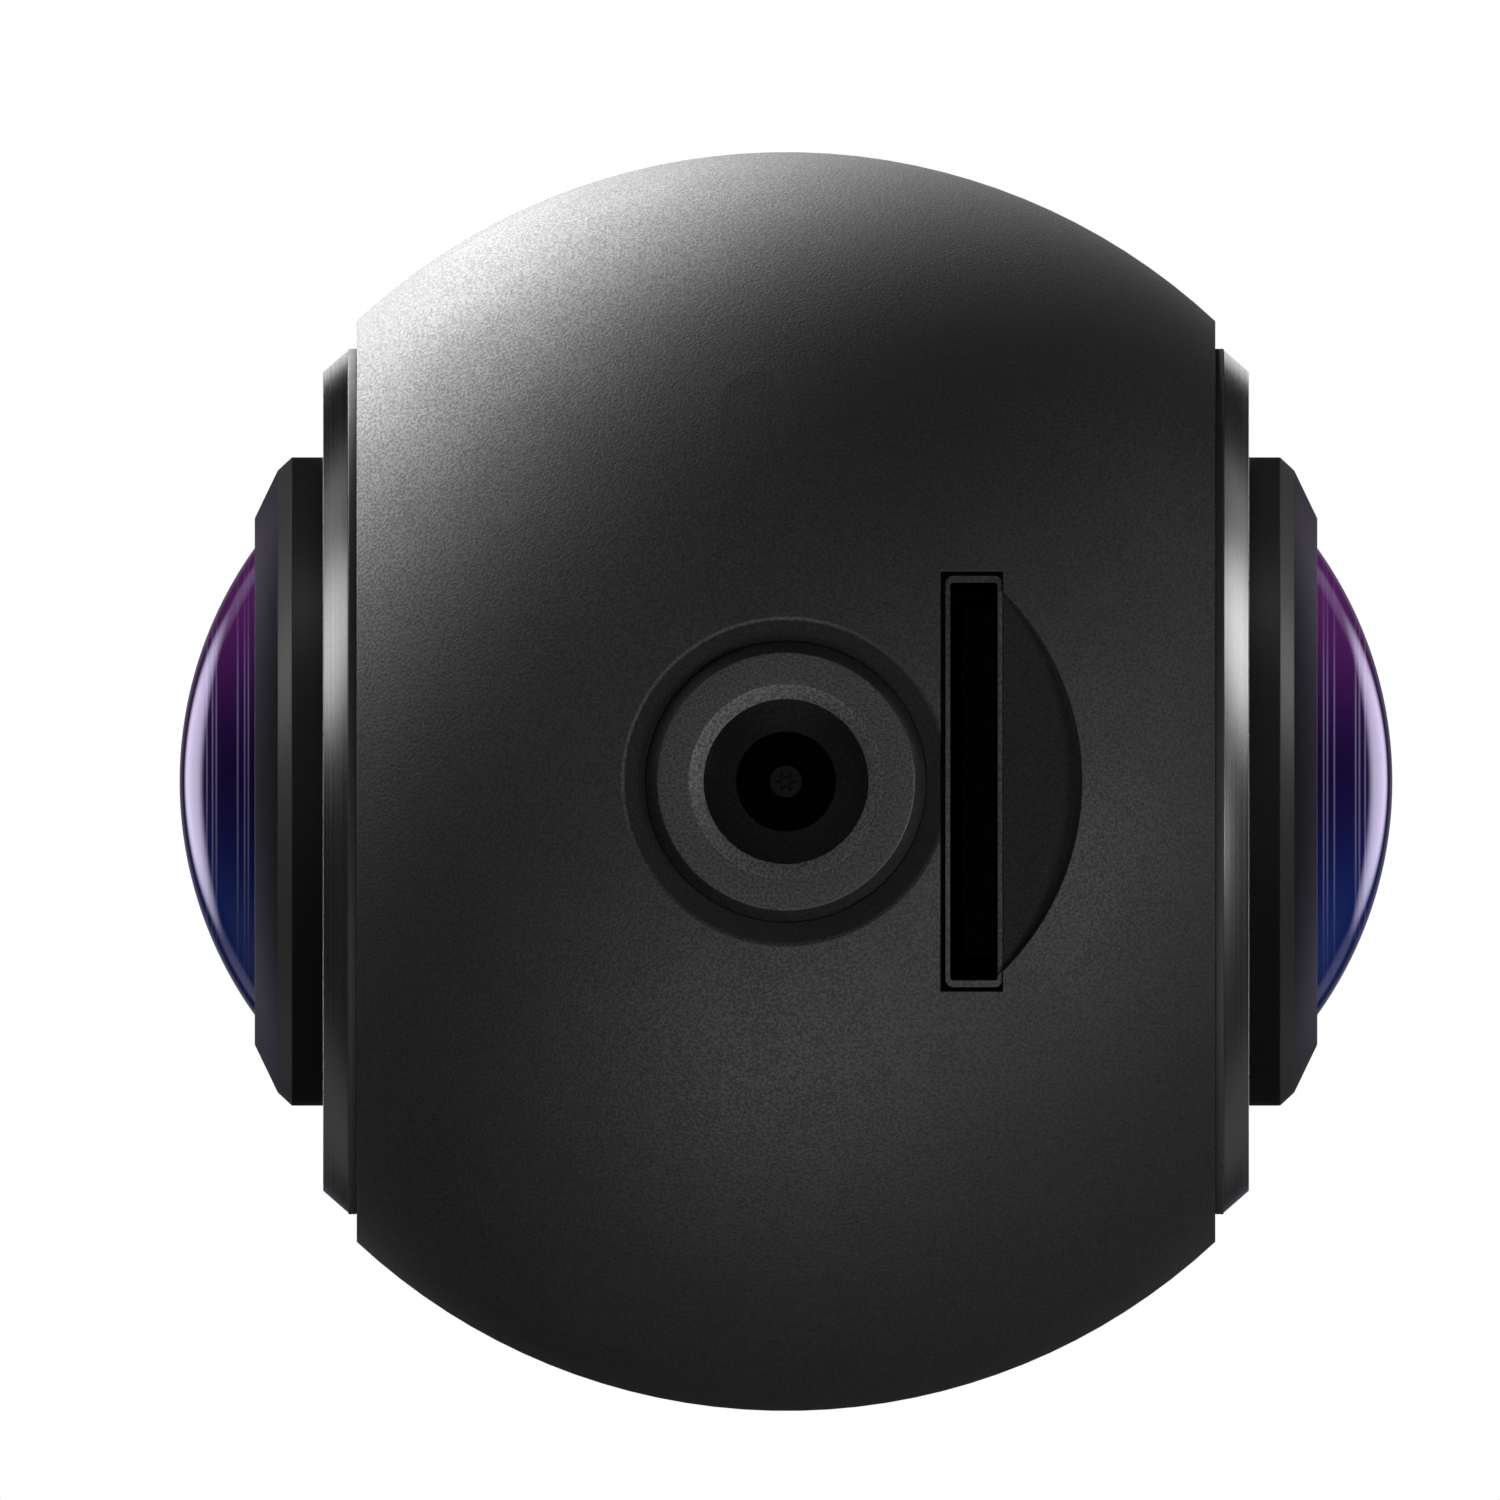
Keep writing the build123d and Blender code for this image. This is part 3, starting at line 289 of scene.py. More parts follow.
plated_steel = drawn_metal(
    "plated_steel",
    dark=(0.34, 0.34, 0.35),
    light=(0.55, 0.55, 0.56),
    gloss=0.3,
    stretch=(1.0, 0.08, 1.0),
)
dress(plated_steel, "chassis_screws", "board_screws", "button_board_screws", *both("flange_screws"))
dress(plated_steel, "heat_spreader", "usb_socket")


# Card socket: a folded steel cover, soldered to the board over the card's contacts.
# It is coated black, so that no glint shows through the slot.
black_steel = drawn_metal(
    "black_coated_steel",
    dark=(0.004, 0.004, 0.004),
    light=(0.008, 0.008, 0.008),
    gloss=0.55,
    stretch=(1.0, 0.1, 1.0),
)
dress(black_steel, "card_socket")


# Tripod insert: a metal bush with the 1/4 inch camera thread, coated black all over
# and then chamfered at its mouth, which leaves a bare bright ring. It is held by its flange.
lathe_steps = 256
corner_steps = 3
same_place = 1e-7
insert_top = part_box("tripod_insert")[1].z
insert_radius = 4.46 * mm
insert_bevel = 0.37 * mm
insert_bevel_height = 0.6 * mm
insert_pad_height = 2.25 * mm
insert_neck_radius = 3.7 * mm
insert_corner = 0.05 * mm
flange_height = 0.8 * mm
flange_radius = 6.2 * mm
thread_radius = 2.6 * mm
thread_major_radius = 3.1 * mm
thread_depth = 5.5 * mm
mouth_chamfer = 0.48 * mm
mouth_lip = 0.25 * mm
well_radius = 1.57 * mm
well_depth = 1.2 * mm
screw_bore = 0.34 * mm
coat_dark, coat_light = (0.013, 0.013, 0.0132), (0.058, 0.058, 0.0585)
bare_dark, bare_light = (0.045, 0.045, 0.0455), (0.165, 0.165, 0.167)
shadow_black = (0.001, 0.001, 0.001)
coat_roughness = 0.5
bare_rougher = 0.2
bare_metallic = 0.3
bare_blur = 0.02 * mm
bare_fade = 0.05 * mm
# Painted shade: the bottom of the bore is blackened and made rougher, and the outer bevel is darkened.
deep_rougher = 0.5
deep_shade_range = (thread_depth + 0.1 * mm, thread_depth + 0.5 * mm)
bevel_shadow = 0.7
bevel_range = (insert_radius - insert_bevel - 0.02 * mm, insert_radius - insert_bevel + 0.03 * mm)
insert_mark_size = 0.03 * mm
insert_mark_share = 0.3
insert_relief = 0.008 * mm


def smooth_by_angle(mesh, angle=radians(32)):
    """Shades a mesh smooth but for its edges that are sharper than the angle."""
    for polygon in mesh.polygons:
        polygon.use_smooth = True
    mesh.set_sharp_from_angle(angle=angle)


def new_object(name, data):
    """Object in the scene, at the origin."""
    thing = bpy.data.objects.new(name, data)
    bpy.context.scene.collection.objects.link(thing)
    return thing


def piece_from_mesh(name, mesh, material, body, slot, *replaced):
    """Finished piece that rides on a body and stands for the CAD nodes."""
    mesh.materials.clear()
    mesh.materials.append(material)
    piece = new_object(name, mesh)
    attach(piece, body)
    if replaced:
        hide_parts(*replaced)


def rounded(points, radius):
    """Closed outline of points with each corner cut to a small arc."""
    outline = []
    for index, corner in enumerate(points):
        corner = Vector(corner)
        before = Vector(points[index - 1]) - corner
        after = Vector(points[(index + 1) % len(points)]) - corner
        reach = min(radius, before.length / 3, after.length / 3)
        start = corner + before.normalized() * reach
        end = corner + after.normalized() * reach
        for step in range(corner_steps + 1):
            share = step / corner_steps
            outline.append(start.lerp(corner, share).lerp(corner.lerp(end, share), share))
    return outline


def closed_mesh(name, work):
    """Mesh of a bmesh whose faces are turned outwards."""
    bmesh.ops.recalc_face_normals(work, faces=work.faces)
    mesh = bpy.data.meshes.new(name)
    work.to_mesh(mesh)
    work.free()
    smooth_by_angle(mesh)
    return mesh


def lathe(name, outline, centre, axis, side=1.0):
    """Mesh turned about an axis from (along, radius) points. A radius of zero closes on the axis."""
    work = bmesh.new()
    rings = []
    for along, radius in outline:
        ring = []
        for step in range(lathe_steps):
            angle = 2 * pi * step / lathe_steps
            across = (radius * cos(angle), radius * sin(angle))
            if axis == "X":
                place = (centre[0] + side * along, centre[1] + across[0], centre[2] + across[1])
            else:
                place = (centre[0] + across[0], centre[1] + across[1], centre[2] + side * along)
            ring.append(work.verts.new(place))
        rings.append(ring)
    for index, ring in enumerate(rings):
        following = rings[(index + 1) % len(rings)]
        for step in range(lathe_steps):
            after = (step + 1) % lathe_steps
            work.faces.new((ring[step], ring[after], following[after], following[step]))
    bmesh.ops.remove_doubles(work, verts=work.verts, dist=same_place)
    bmesh.ops.dissolve_degenerate(work, edges=work.edges, dist=same_place / 10)
    return closed_mesh(name, work)


def split_axes(tree, place):
    """X, Y and Z of a place."""
    return add(tree, "ShaderNodeSeparateXYZ", {"Vector": place}).outputs


def axis_distance(tree, first, second):
    """Distance from the axis that the two coordinates lie across."""
    square = math_node(tree, "MULTIPLY", first, first)
    return math_node(tree, "SQRT", math_node(tree, "MULTIPLY_ADD", second, second, square))


def turning_marks(tree, radius, along, size, detail, roughness=0.5):
    """Noise that runs round the axis of turning."""
    place = add(tree, "ShaderNodeCombineXYZ", {"X": radius, "Y": along}).outputs["Vector"]
    return noise(tree, place, size, detail, roughness)


def coated_insert_metal(name):
    """Black coating, cut away to bare metal on the chamfer inside the mouth, with painted shade at the
    bottom of the bore and on the outer bevel.
    """
    material, tree, shader, place = new_material(name)
    axes = split_axes(tree, place)
    radius = axis_distance(tree, axes["X"], axes["Y"])
    chamfer_radius = thread_radius + mouth_chamfer
    inside = ramp(tree, radius, chamfer_radius, chamfer_radius + bare_blur, 1.0, 0.0)
    outside = ramp(tree, radius, thread_radius - bare_blur, thread_radius)
    low = ramp(tree, axes["Z"], mouth_chamfer, mouth_chamfer + bare_fade, 1.0, 0.0)
    bare = math_node(tree, "MULTIPLY", math_node(tree, "MULTIPLY", inside, outside), low)
    marks = turning_marks(tree, radius, axes["Z"], insert_mark_size, detail=3.0)
    speckle = specks(tree, place)
    grain = ramp(tree, speckle, *texture_range)
    # Painted shade at the bottom of the bore and on the outer bevel.
    deep_shade_and_rough = ramp(tree, axes["Z"], *deep_shade_range)
    outer = ramp(tree, radius, *bevel_range)
    painted_bore_shade = math_node(tree, "MAXIMUM", math_node(tree, "MULTIPLY", outer, bevel_shadow), deep_shade_and_rough)
    coat = blend_colours(tree, painted_bore_shade, blend_colours(tree, grain, coat_dark, coat_light), shadow_black)
    metal = blend_colours(tree, grain, bare_dark, bare_light)
    satin = math_node(tree, "MULTIPLY_ADD", bare, bare_rougher, coat_roughness)
    feed(tree, shader, {
        "Base Color": blend_colours(tree, bare, coat, metal),
        "Metallic": math_node(tree, "MULTIPLY", bare, bare_metallic),
        "Roughness": math_node(tree, "MULTIPLY_ADD", deep_shade_and_rough, deep_rougher, satin),
    })
    relief = math_node(tree, "MULTIPLY_ADD", marks, insert_mark_share, speckle)
    bump(tree, shader, relief, insert_relief)
    return material


insert_metal = coated_insert_metal("coated_insert_metal")
insert_outline = [
    (0.0, thread_radius + mouth_chamfer),
    (0.0, insert_radius - insert_bevel),
    (insert_bevel_height, insert_radius),
    (insert_pad_height, insert_radius),
    (insert_pad_height, flange_radius),
    (insert_pad_height + flange_height, flange_radius),
    (insert_pad_height + flange_height, insert_neck_radius),
    (insert_top, insert_neck_radius),
    (insert_top, screw_bore),
    (thread_depth + well_depth, screw_bore),
    (thread_depth + well_depth, well_radius),
    (thread_depth, well_radius),
    (thread_depth, thread_major_radius),
    (mouth_chamfer + mouth_lip, thread_major_radius),
    (mouth_chamfer, thread_radius),
]
insert_mesh = lathe("tripod_insert_turned", rounded(insert_outline, insert_corner), (0, 0, 0), "Z")

# The flange has two flat sides, so that the slot's frame passes beside it.
for vertex in insert_mesh.vertices:
    vertex.co.x = min(insert_radius, max(-insert_radius, vertex.co.x))
smooth_by_angle(insert_mesh)
piece_from_mesh("threaded_insert", insert_mesh, insert_metal, "camera", "insert_metal", "tripod_insert")


# Star screw at the bottom of the socket: black oxide steel, with a six-pointed drive.
# Its recess is a real hollow with thin points.
screw_low, screw_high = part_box("insert_screw")
screw_head_radius = 0.52 * mm
screw_head_height = 0.35 * mm
screw_shank_radius = 0.3 * mm
star_tip_radius = 0.34 * mm
star_waist_radius = 0.13 * mm
star_depth = 0.2 * mm
star_points = 6
arc_steps = 4


def star_screw_mesh(name):
    """Turned screw whose head face is joined to a star-shaped hollow."""
    work = bmesh.new()
    corners = 2 * star_points

    def loop(radii, z, count):
        ring = []
        for step in range(count):
            angle = 2 * pi * step / count
            radius = radii[step % len(radii)]
            ring.append(work.verts.new((radius * cos(angle), radius * sin(angle), z)))
        return ring

    def skirt(first, second):
        for step in range(len(first)):
            after = (step + 1) % len(first)
            work.faces.new((first[step], first[after], second[after], second[step]))

    star = (star_tip_radius, star_waist_radius)
    head_end = screw_low.z + screw_head_height
    mouth = loop(star, screw_low.z, corners)
    star_floor = loop(star, screw_low.z + star_depth, corners)
    rim = loop((screw_head_radius,), screw_low.z, corners * arc_steps)
    under = loop((screw_head_radius,), head_end, corners * arc_steps)
    neck = loop((screw_shank_radius,), head_end, corners * arc_steps)
    tip = loop((screw_shank_radius,), screw_high.z, corners * arc_steps)
    skirt(mouth, star_floor)
    work.faces.new(star_floor)
    for step in range(corners):
        after = (step + 1) % corners
        for part in range(arc_steps):
            first = rim[step * arc_steps + part]
            second = rim[(step * arc_steps + part + 1) % len(rim)]
            work.faces.new((mouth[step], first, second))
        work.faces.new((mouth[step], rim[(after * arc_steps) % len(rim)], mouth[after]))
    skirt(rim, under)
    skirt(under, neck)
    skirt(neck, tip)
    work.faces.new(tip)
    return closed_mesh(name, work)


dark_steel = drawn_metal(
    "black_oxide_steel",
    dark=(0.035, 0.035, 0.036),
    light=(0.07, 0.07, 0.072),
    gloss=0.5,
    stretch=(1.0, 1.0, 1.0),
)
star_mesh = star_screw_mesh("star_screw")
piece_from_mesh("star_screw", star_mesh, dark_steel, "camera", "steel", "insert_screw")


# Camera thread: a helical ridge cut inside the insert, 20 turns to the inch.
# It starts above the mouth's chamfer and runs out before the bottom.
thread_pitch = 1.27 * mm
ridge_radius = 0.45 * mm
ridge_sides = 6
steps_per_turn = 96
thread_start = mouth_chamfer + mouth_lip + ridge_radius
thread_height = thread_depth - thread_start - ridge_radius


def node_group_with_inputs(name, **inputs):
    """Empty Geometry Nodes tree with a geometry output and named inputs of the given kinds."""
    tree = bpy.data.node_groups.new(name, "GeometryNodeTree")
    for way in ("INPUT", "OUTPUT"):
        tree.interface.new_socket("Geometry", in_out=way, socket_type="NodeSocketGeometry")
    for label, kind in inputs.items():
        tree.interface.new_socket(label, in_out="INPUT", socket_type="NodeSocket" + kind)
    return tree, tree.nodes.new("NodeGroupInput").outputs


def end_tree(tree, geometry, material):
    """Last nodes of a tree, which make its instances real and give them their material."""
    real = add(tree, "GeometryNodeRealizeInstances", {"Geometry": geometry})
    coat = {"Geometry": real.outputs["Geometry"], "Material": material}
    made = add(tree, "GeometryNodeSetMaterial", coat).outputs["Geometry"]
    add(tree, "NodeGroupOutput", {"Geometry": made})


def grow(name, tree, values):
    """Plain mesh that a Geometry Nodes tree makes with the given inputs."""
    carrier = new_object(name, bpy.data.meshes.new(name + "_seed"))
    modifier = carrier.modifiers.new("grow", "NODES")
    modifier.node_group = tree
    for item in tree.interface.items_tree:
        if item.item_type == "SOCKET" and item.in_out == "INPUT" and item.name in values:
            modifier[item.identifier] = values[item.name]
    evaluated = carrier.evaluated_get(bpy.context.evaluated_depsgraph_get())
    mesh = bpy.data.meshes.new_from_object(evaluated)
    mesh.name = name
    carrier.modifiers.remove(modifier)
    bpy.data.objects.remove(carrier)
    return mesh


def wound_ridge_tree():
    """Spiral with a small six-sided profile swept along it, a point of which faces the axis."""
    tree, given = node_group_with_inputs(
        "wound_ridge",
        Radius="Float",
        Height="Float",
        Turns="Float",
        Ridge="Float",
        Start="Vector",
        Material="Material",
    )
    spiral = add(tree, "GeometryNodeCurveSpiral", {
        "Resolution": steps_per_turn,
        "Rotations": given["Turns"],
        "Start Radius": given["Radius"],
        "End Radius": given["Radius"],
        "Height": given["Height"],
    })
    path = add(tree, "GeometryNodeSetCurveNormal", {"Curve": spiral.outputs["Curve"]}, mode="Z_UP")
    ring = {"Resolution": ridge_sides, "Radius": given["Ridge"]}
    profile = add(tree, "GeometryNodeCurvePrimitiveCircle", ring, mode="RADIUS")
    sweep = add(tree, "GeometryNodeCurveToMesh", {
        "Curve": path.outputs["Curve"],
        "Profile Curve": profile.outputs["Curve"],
        "Fill Caps": True,
    })
    moved = {"Geometry": sweep.outputs["Mesh"], "Translation": given["Start"]}
    placed = add(tree, "GeometryNodeTransform", moved)
    end_tree(tree, placed.outputs["Geometry"], given["Material"])
    return tree


wound_ridge = wound_ridge_tree()
thread_mesh = grow("camera_thread", wound_ridge, {
    "Radius": thread_major_radius,
    "Height": thread_height,
    "Turns": thread_height / thread_pitch,
    "Ridge": ridge_radius,
    "Start": (0.0, 0.0, thread_start),
    "Material": insert_metal,
})
smooth_by_angle(thread_mesh, angle=radians(40))
piece_from_mesh("camera_thread", thread_mesh, insert_metal, "camera", "insert_metal")


# Ejector spring: a coil of plated steel wire that sits in the card socket.
# It pushes the card's slider out.
spring_low, spring_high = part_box("ejector_spring")
spring_middle = (spring_low + spring_high) / 2
wire_radius = 0.07 * mm
coil_turns = 11.0
coil_mesh = grow("ejector_coil", wound_ridge, {
    "Radius": (spring_high.x - spring_low.x) / 2 - wire_radius,
    "Height": spring_high.z - spring_low.z - 2 * wire_radius,
    "Turns": coil_turns,
    "Ridge": wire_radius,
    "Start": (spring_middle.x, spring_middle.y, spring_low.z + wire_radius),
    "Material": plated_steel,
})
smooth_by_angle(coil_mesh, angle=radians(70))
piece_from_mesh("ejector_coil", coil_mesh, plated_steel, "camera", "steel", "ejector_spring")


# Slot frame and card slider: thin mouldings of black plastic with the shells' grain.
# The frame lines the card slot, and its flange lies against the shell from inside.
frame_relief = 0.003 * mm
frame_edge = 0.02 * mm


def slot_plastic(name, dark, light):
    """Black plastic with the shells' grain, a little rubbed and pale."""
    material, tree, shader, place = new_material(name)
    speckle = ramp(tree, specks(tree, place), *speck_range)
    feed(tree, shader, {"Base Color": blend_colours(tree, speckle, dark, light), "Roughness": 0.55})
    bump(tree, shader, speckle, frame_relief, frame_edge)
    return material


frame_plastic = slot_plastic(
    "slot_frame_plastic",
    dark=(0.022, 0.022, 0.0222),
    light=(0.06, 0.06, 0.061),
)
dress(frame_plastic, "slot_frame", "card_ejector")


# Memory card: moulded black plastic, pushed in until it latches.
# Its gold contact pads are at the inner end, on the side that faces the board.
card_low, card_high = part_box("memory_card")
card_grain = 0.08 * mm
card_relief = 0.002 * mm
# Painted shade: the end of the card that shows in the slot fades to this black.
card_end_shade = (0.0015, 0.0015, 0.0015)
card_end_shade_fade = (card_low.z + 0.05 * mm, card_low.z + 1.2 * mm)
card_dark, card_light = (0.022, 0.022, 0.0222), (0.034, 0.034, 0.0345)
card_pad_size = (0.02 * mm, 0.8 * mm, 2.8 * mm)
card_pad_step = 1.1 * mm
card_pad_count = 8
card_pad_side = 1.4 * mm
card_pad_depth = 2.1 * mm
card_pad_start = Vector((card_low.x, card_low.y + card_pad_side, card_high.z - card_pad_depth))


def card_moulding(name):
    """Matt black plastic, with painted shade on the end that shows in the slot."""
    material, tree, shader, place = new_material(name)
    inward = ramp(tree, split_axes(tree, place)["Z"], *card_end_shade_fade)
    grain = noise(tree, place, card_grain)
    body = blend_colours(tree, grain, card_dark, card_light)
    feed(tree, shader, {
        "Base Color": blend_colours(tree, inward, card_end_shade, body),
        "Roughness": 0.8,
        "Specular IOR Level": 0.0,
    })
    bump(tree, shader, grain, card_relief)
    return material


def pads_tree():
    """Row of thin rectangular contact pads."""
    tree, given = node_group_with_inputs(
        "contact_pads",
        Count="Int",
        Step="Vector",
        Start="Vector",
        Pad="Vector",
        Material="Material",
    )
    row = add(tree, "GeometryNodeMeshLine", {
        "Count": given["Count"],
        "Start Location": given["Start"],
        "Offset": given["Step"],
    })
    pad = add(tree, "GeometryNodeMeshCube", {"Size": given["Pad"]})
    spread = {"Points": row.outputs["Mesh"], "Instance": pad.outputs["Mesh"]}
    pads = add(tree, "GeometryNodeInstanceOnPoints", spread)
    end_tree(tree, pads.outputs["Instances"], given["Material"])
    return tree


dress(card_moulding("card_plastic"), "memory_card")
contact_gold = drawn_metal(
    "contact_gold",
    dark=(0.55, 0.34, 0.09),
    light=(0.78, 0.52, 0.18),
    gloss=0.28,
    stretch=(1.0, 1.0, 0.1),
)
contact_pads = pads_tree()
card_pads = grow("card_contacts", contact_pads, {
    "Count": card_pad_count,
    "Step": (0.0, card_pad_step, 0.0),
    "Start": card_pad_start,
    "Pad": card_pad_size,
    "Material": contact_gold,
})
piece_from_mesh("card_contacts", card_pads, contact_gold, "card", "card_plastic")


# Shutter button: a moulded plastic cap with a shallow thumb dish, sprayed like the shells
# but smoother. Its flange keeps it in the well, and its stem presses the switch.
stem_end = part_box("shutter_button")[0].z - ball_centre.z
stem_radius = 1.0 * mm
cap_flange_low = 16.9 * mm
cap_flange_high = 17.45 * mm
cap_flange_radius = 4.9 * mm
cap_radius = 4.2 * mm
cap_curve = 19.88 * mm
cap_edge = 0.06 * mm
cap_steps = 28
cap_relief = 0.005 * mm
dish_low = 19.63 * mm
dish_curve = 35.4 * mm
dish_blend = 0.06 * mm
button_paint = sprayed_paint(
    "button_paint",
    dark=(0.008, 0.008, 0.0083),
    light=(0.02, 0.02, 0.0205),
    gloss=0.56,
    relief=cap_relief,
    skin_height=dish_low,
)
cap_outline = [
    (stem_end, 0.0),
    (stem_end, stem_radius),
    (cap_flange_low, stem_radius),
    (cap_flange_low, cap_flange_radius),
    (cap_flange_high, cap_flange_radius),
    (cap_flange_high, cap_radius),
    ((cap_curve**2 - cap_radius**2) ** 0.5 - cap_edge, cap_radius),
]
for step in range(cap_steps + 1):
    radius = (cap_radius - cap_edge) * (1 - step / cap_steps)
    cap = (cap_curve**2 - radius**2) ** 0.5
    dish = dish_low + dish_curve - (dish_curve**2 - radius**2) ** 0.5
    overlap = max(dish_blend - abs(cap - dish), 0.0)
    cap_outline.append((min(cap, dish) - overlap**2 / dish_blend / 4, radius))
cap_mesh = lathe("dished_cap", cap_outline, ball_centre, "Z")
piece_from_mesh("dished_button", cap_mesh, button_paint, "button", "button_paint", "shutter_button")


# Light pipe and status light: a moulded rod of clear plastic, pressed into the upper shell.
# It carries the light to the surface.
haze_size = 0.4 * mm
haze_relief = 0.01 * mm
pipe_edge = 0.05 * mm


def clear_plastic(name, dark, light):
    """Hazy clear plastic."""
    material, tree, shader, place = new_material(name)
    haze = noise(tree, place, haze_size)
    feed(tree, shader, {
        "Base Color": blend_colours(tree, haze, dark, light),
        "Roughness": 0.25,
        "Transmission Weight": 0.5,
    })
    bump(tree, shader, haze, haze_relief, pipe_edge)
    return material


light_plastic = clear_plastic("clear_plastic", dark=(0.62, 0.68, 0.7), light=(0.8, 0.85, 0.86))
dress(light_plastic, "light_pipe", "status_led")


# USB contacts: twelve gold-plated strips on each face of the socket's tongue.
# They are stamped from sheet, and the tongue is moulded round them.
socket_low, socket_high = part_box("usb_socket")
socket_centre = (socket_low + socket_high) / 2
tongue_thickness = 0.7 * mm
strip_size = (0.25 * mm, 3.2 * mm, 0.03 * mm)
strip_step = 0.5 * mm
strip_count = 12
strip_inset = 3.6 * mm
for face_name, direction in (("upper", 1), ("lower", -1)):
    strip_start = Vector((
        socket_centre.x - strip_step * (strip_count - 1) / 2,
        socket_high.y - strip_inset,
        socket_centre.z + direction * tongue_thickness / 2,
    ))
    strips = grow(f"usb_contacts_{face_name}", contact_pads, {
        "Count": strip_count,
        "Step": (strip_step, 0.0, 0.0),
        "Start": strip_start,
        "Pad": strip_size,
        "Material": contact_gold,
    })
    piece_from_mesh(f"usb_contacts_{face_name}", strips, contact_gold, "camera", "steel")


# Ring gaskets: thin black rubber discs, one between each flat of the ball and its bright ring.
# The barrels' seals are rubber too, moulded as rings and seated in grooves of the flats.
flat_x = 13.64 * mm
gasket_front_x = 13.91 * mm
gasket_outer_radius = 13.75 * mm
gasket_corner = 0.03 * mm
barrel_radius = 10.3 * mm
ring_bore_radius = barrel_radius + 0.05 * mm


def turned_pair(name, outline, material, slot, replaced):
    """Left and right piece, turned from one outline about the axis of the lenses."""
    for side_name, side in sides:
        piece, node_name = f"{side_name}_{name}", f"{side_name}_{replaced}"
        mesh = lathe(piece, outline, ball_centre, "X", side)
        piece_from_mesh(piece, mesh, material, "camera", slot, node_name)


gasket_rubber = moulded_plastic(
    "gasket_rubber",
    dark=(0.035, 0.035, 0.036),
    light=(0.06, 0.06, 0.062),
    gloss=0.62,
    grain=0.2 * mm,
)
gasket_outline = [
    (flat_x, ring_bore_radius),
    (gasket_front_x, ring_bore_radius),
    (gasket_front_x, gasket_outer_radius),
    (flat_x, gasket_outer_radius),
]
gasket_outline = rounded(gasket_outline, gasket_corner)
turned_pair("rubber_gasket", gasket_outline, gasket_rubber, "gasket_rubber", "ring_gasket")
dress(gasket_rubber, *both("barrel_seal"))


# Trim rings: aluminium, turned to a cone and left bright, with fine turning marks round them.
# Each lies over its gasket, round the barrel.
trim_front_x = 14.71 * mm
trim_base_radius = 13.7 * mm
trim_face_radius = 13.0 * mm
trim_corner = 0.04 * mm
trim_mark_size = 0.035 * mm
trim_mark_range = (0.2, 0.8)


def turned_metal(name, dark, light, gloss):
    """Metal with marks that run round the lens axis."""
    material, tree, shader, place = new_material(name)
    centred = add(tree, "ShaderNodeMapping", {"Vector": place, "Location": -ball_centre})
    axes = split_axes(tree, centred.outputs["Vector"])
    radius = axis_distance(tree, axes["Y"], axes["Z"])
    marks = turning_marks(tree, radius, axes["X"], trim_mark_size, detail=4.0, roughness=0.65)
    smoother, rougher = gloss - 0.05, gloss + 0.08
    feed(tree, shader, {
        "Base Color": blend_colours(tree, marks, dark, light),
        "Metallic": 1.0,
        "Roughness": ramp(tree, marks, *trim_mark_range, smoother, rougher),
    })
    bump(tree, shader, marks, mark_relief)
    return material


ring_metal = turned_metal(
    "turned_bright_metal",
    dark=(0.52, 0.52, 0.525),
    light=(0.68, 0.68, 0.685),
    gloss=0.26,
)
trim_outline = [
    (gasket_front_x, ring_bore_radius),
    (trim_front_x, ring_bore_radius),
    (trim_front_x, trim_face_radius),
    (gasket_front_x, trim_base_radius),
]
turned_pair("bright_ring", rounded(trim_outline, trim_corner), ring_metal, "ring_metal", "trim_ring")


# Lens barrels: aluminium, turned with two bevels and anodised black, and screwed on from inside.
# The first bevel is painted lighter as a highlight, and the front is painted darker as shade.
barrel_rear_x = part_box("right_lens_barrel")[0].x
rear_bore_radius = 3.05 * mm
rear_tube_radius = 5.0 * mm
body_rear_x = 11.0 * mm
body_radius = 9.6 * mm
barrel_flange_x = 12.86 * mm
barrel_flange_radius = 12.6 * mm
shoulder_x = 15.7 * mm
first_bevel_x = 16.15 * mm
first_bevel_radius = 9.88 * mm
barrel_front_x = 16.88 * mm
barrel_face_radius = 8.36 * mm
dome_base_radius = 7.42 * mm
lens_seat_x = 15.4 * mm
lens_bore_radius = 5.22 * mm
second_seat_x = 12.6 * mm
second_bore_radius = 4.27 * mm
rear_seat_x = 9.1 * mm
barrel_corner = 0.035 * mm
bevel_blur = 0.02 * mm
bevel_metallic = 0.5
bevel_rougher = -0.06
anodised_roughness = 0.42
anodised_grain = 0.06 * mm
anodised_dark, anodised_light = (0.018, 0.018, 0.0185), (0.03, 0.03, 0.031)
# Painted shade on the front of the barrel, and a painted highlight on the first bevel:
front_painted_shade = (0.005, 0.005, 0.0052)
bevel_highlight_dark, bevel_highlight_light = (0.16, 0.16, 0.162), (0.25, 0.25, 0.253)


def anodised_barrel(name):
    """Black anodising, with a painted highlight on the narrow first bevel and painted shade towards the
    front.
    """
    material, tree, shader, place = new_material(name)
    distance = math_node(tree, "ABSOLUTE", split_axes(tree, place)["X"])
    shoulder = (shoulder_x - bevel_blur, shoulder_x + bevel_blur)
    bevel_end = (first_bevel_x - bevel_blur, first_bevel_x + bevel_blur)
    rise = ramp(tree, distance, *shoulder)
    fall = ramp(tree, distance, *bevel_end, 1.0, 0.0)
    band = math_node(tree, "MULTIPLY", rise, fall)
    front = ramp(tree, distance, *bevel_end)
    marks = noise(tree, place, anodised_grain, detail=3.0)
    black = blend_colours(tree, marks, anodised_dark, anodised_light)
    shade = blend_colours(tree, front, black, front_painted_shade)
    painted_bevel_highlight = blend_colours(tree, marks, bevel_highlight_dark, bevel_highlight_light)
    feed(tree, shader, {
        "Base Color": blend_colours(tree, band, shade, painted_bevel_highlight),
        "Metallic": math_node(tree, "MULTIPLY", band, bevel_metallic),
        "Roughness": math_node(tree, "MULTIPLY_ADD", band, bevel_rougher, anodised_roughness),
        "Specular IOR Level": 0.12,
    })
    bump(tree, shader, marks, mark_relief)
    return material


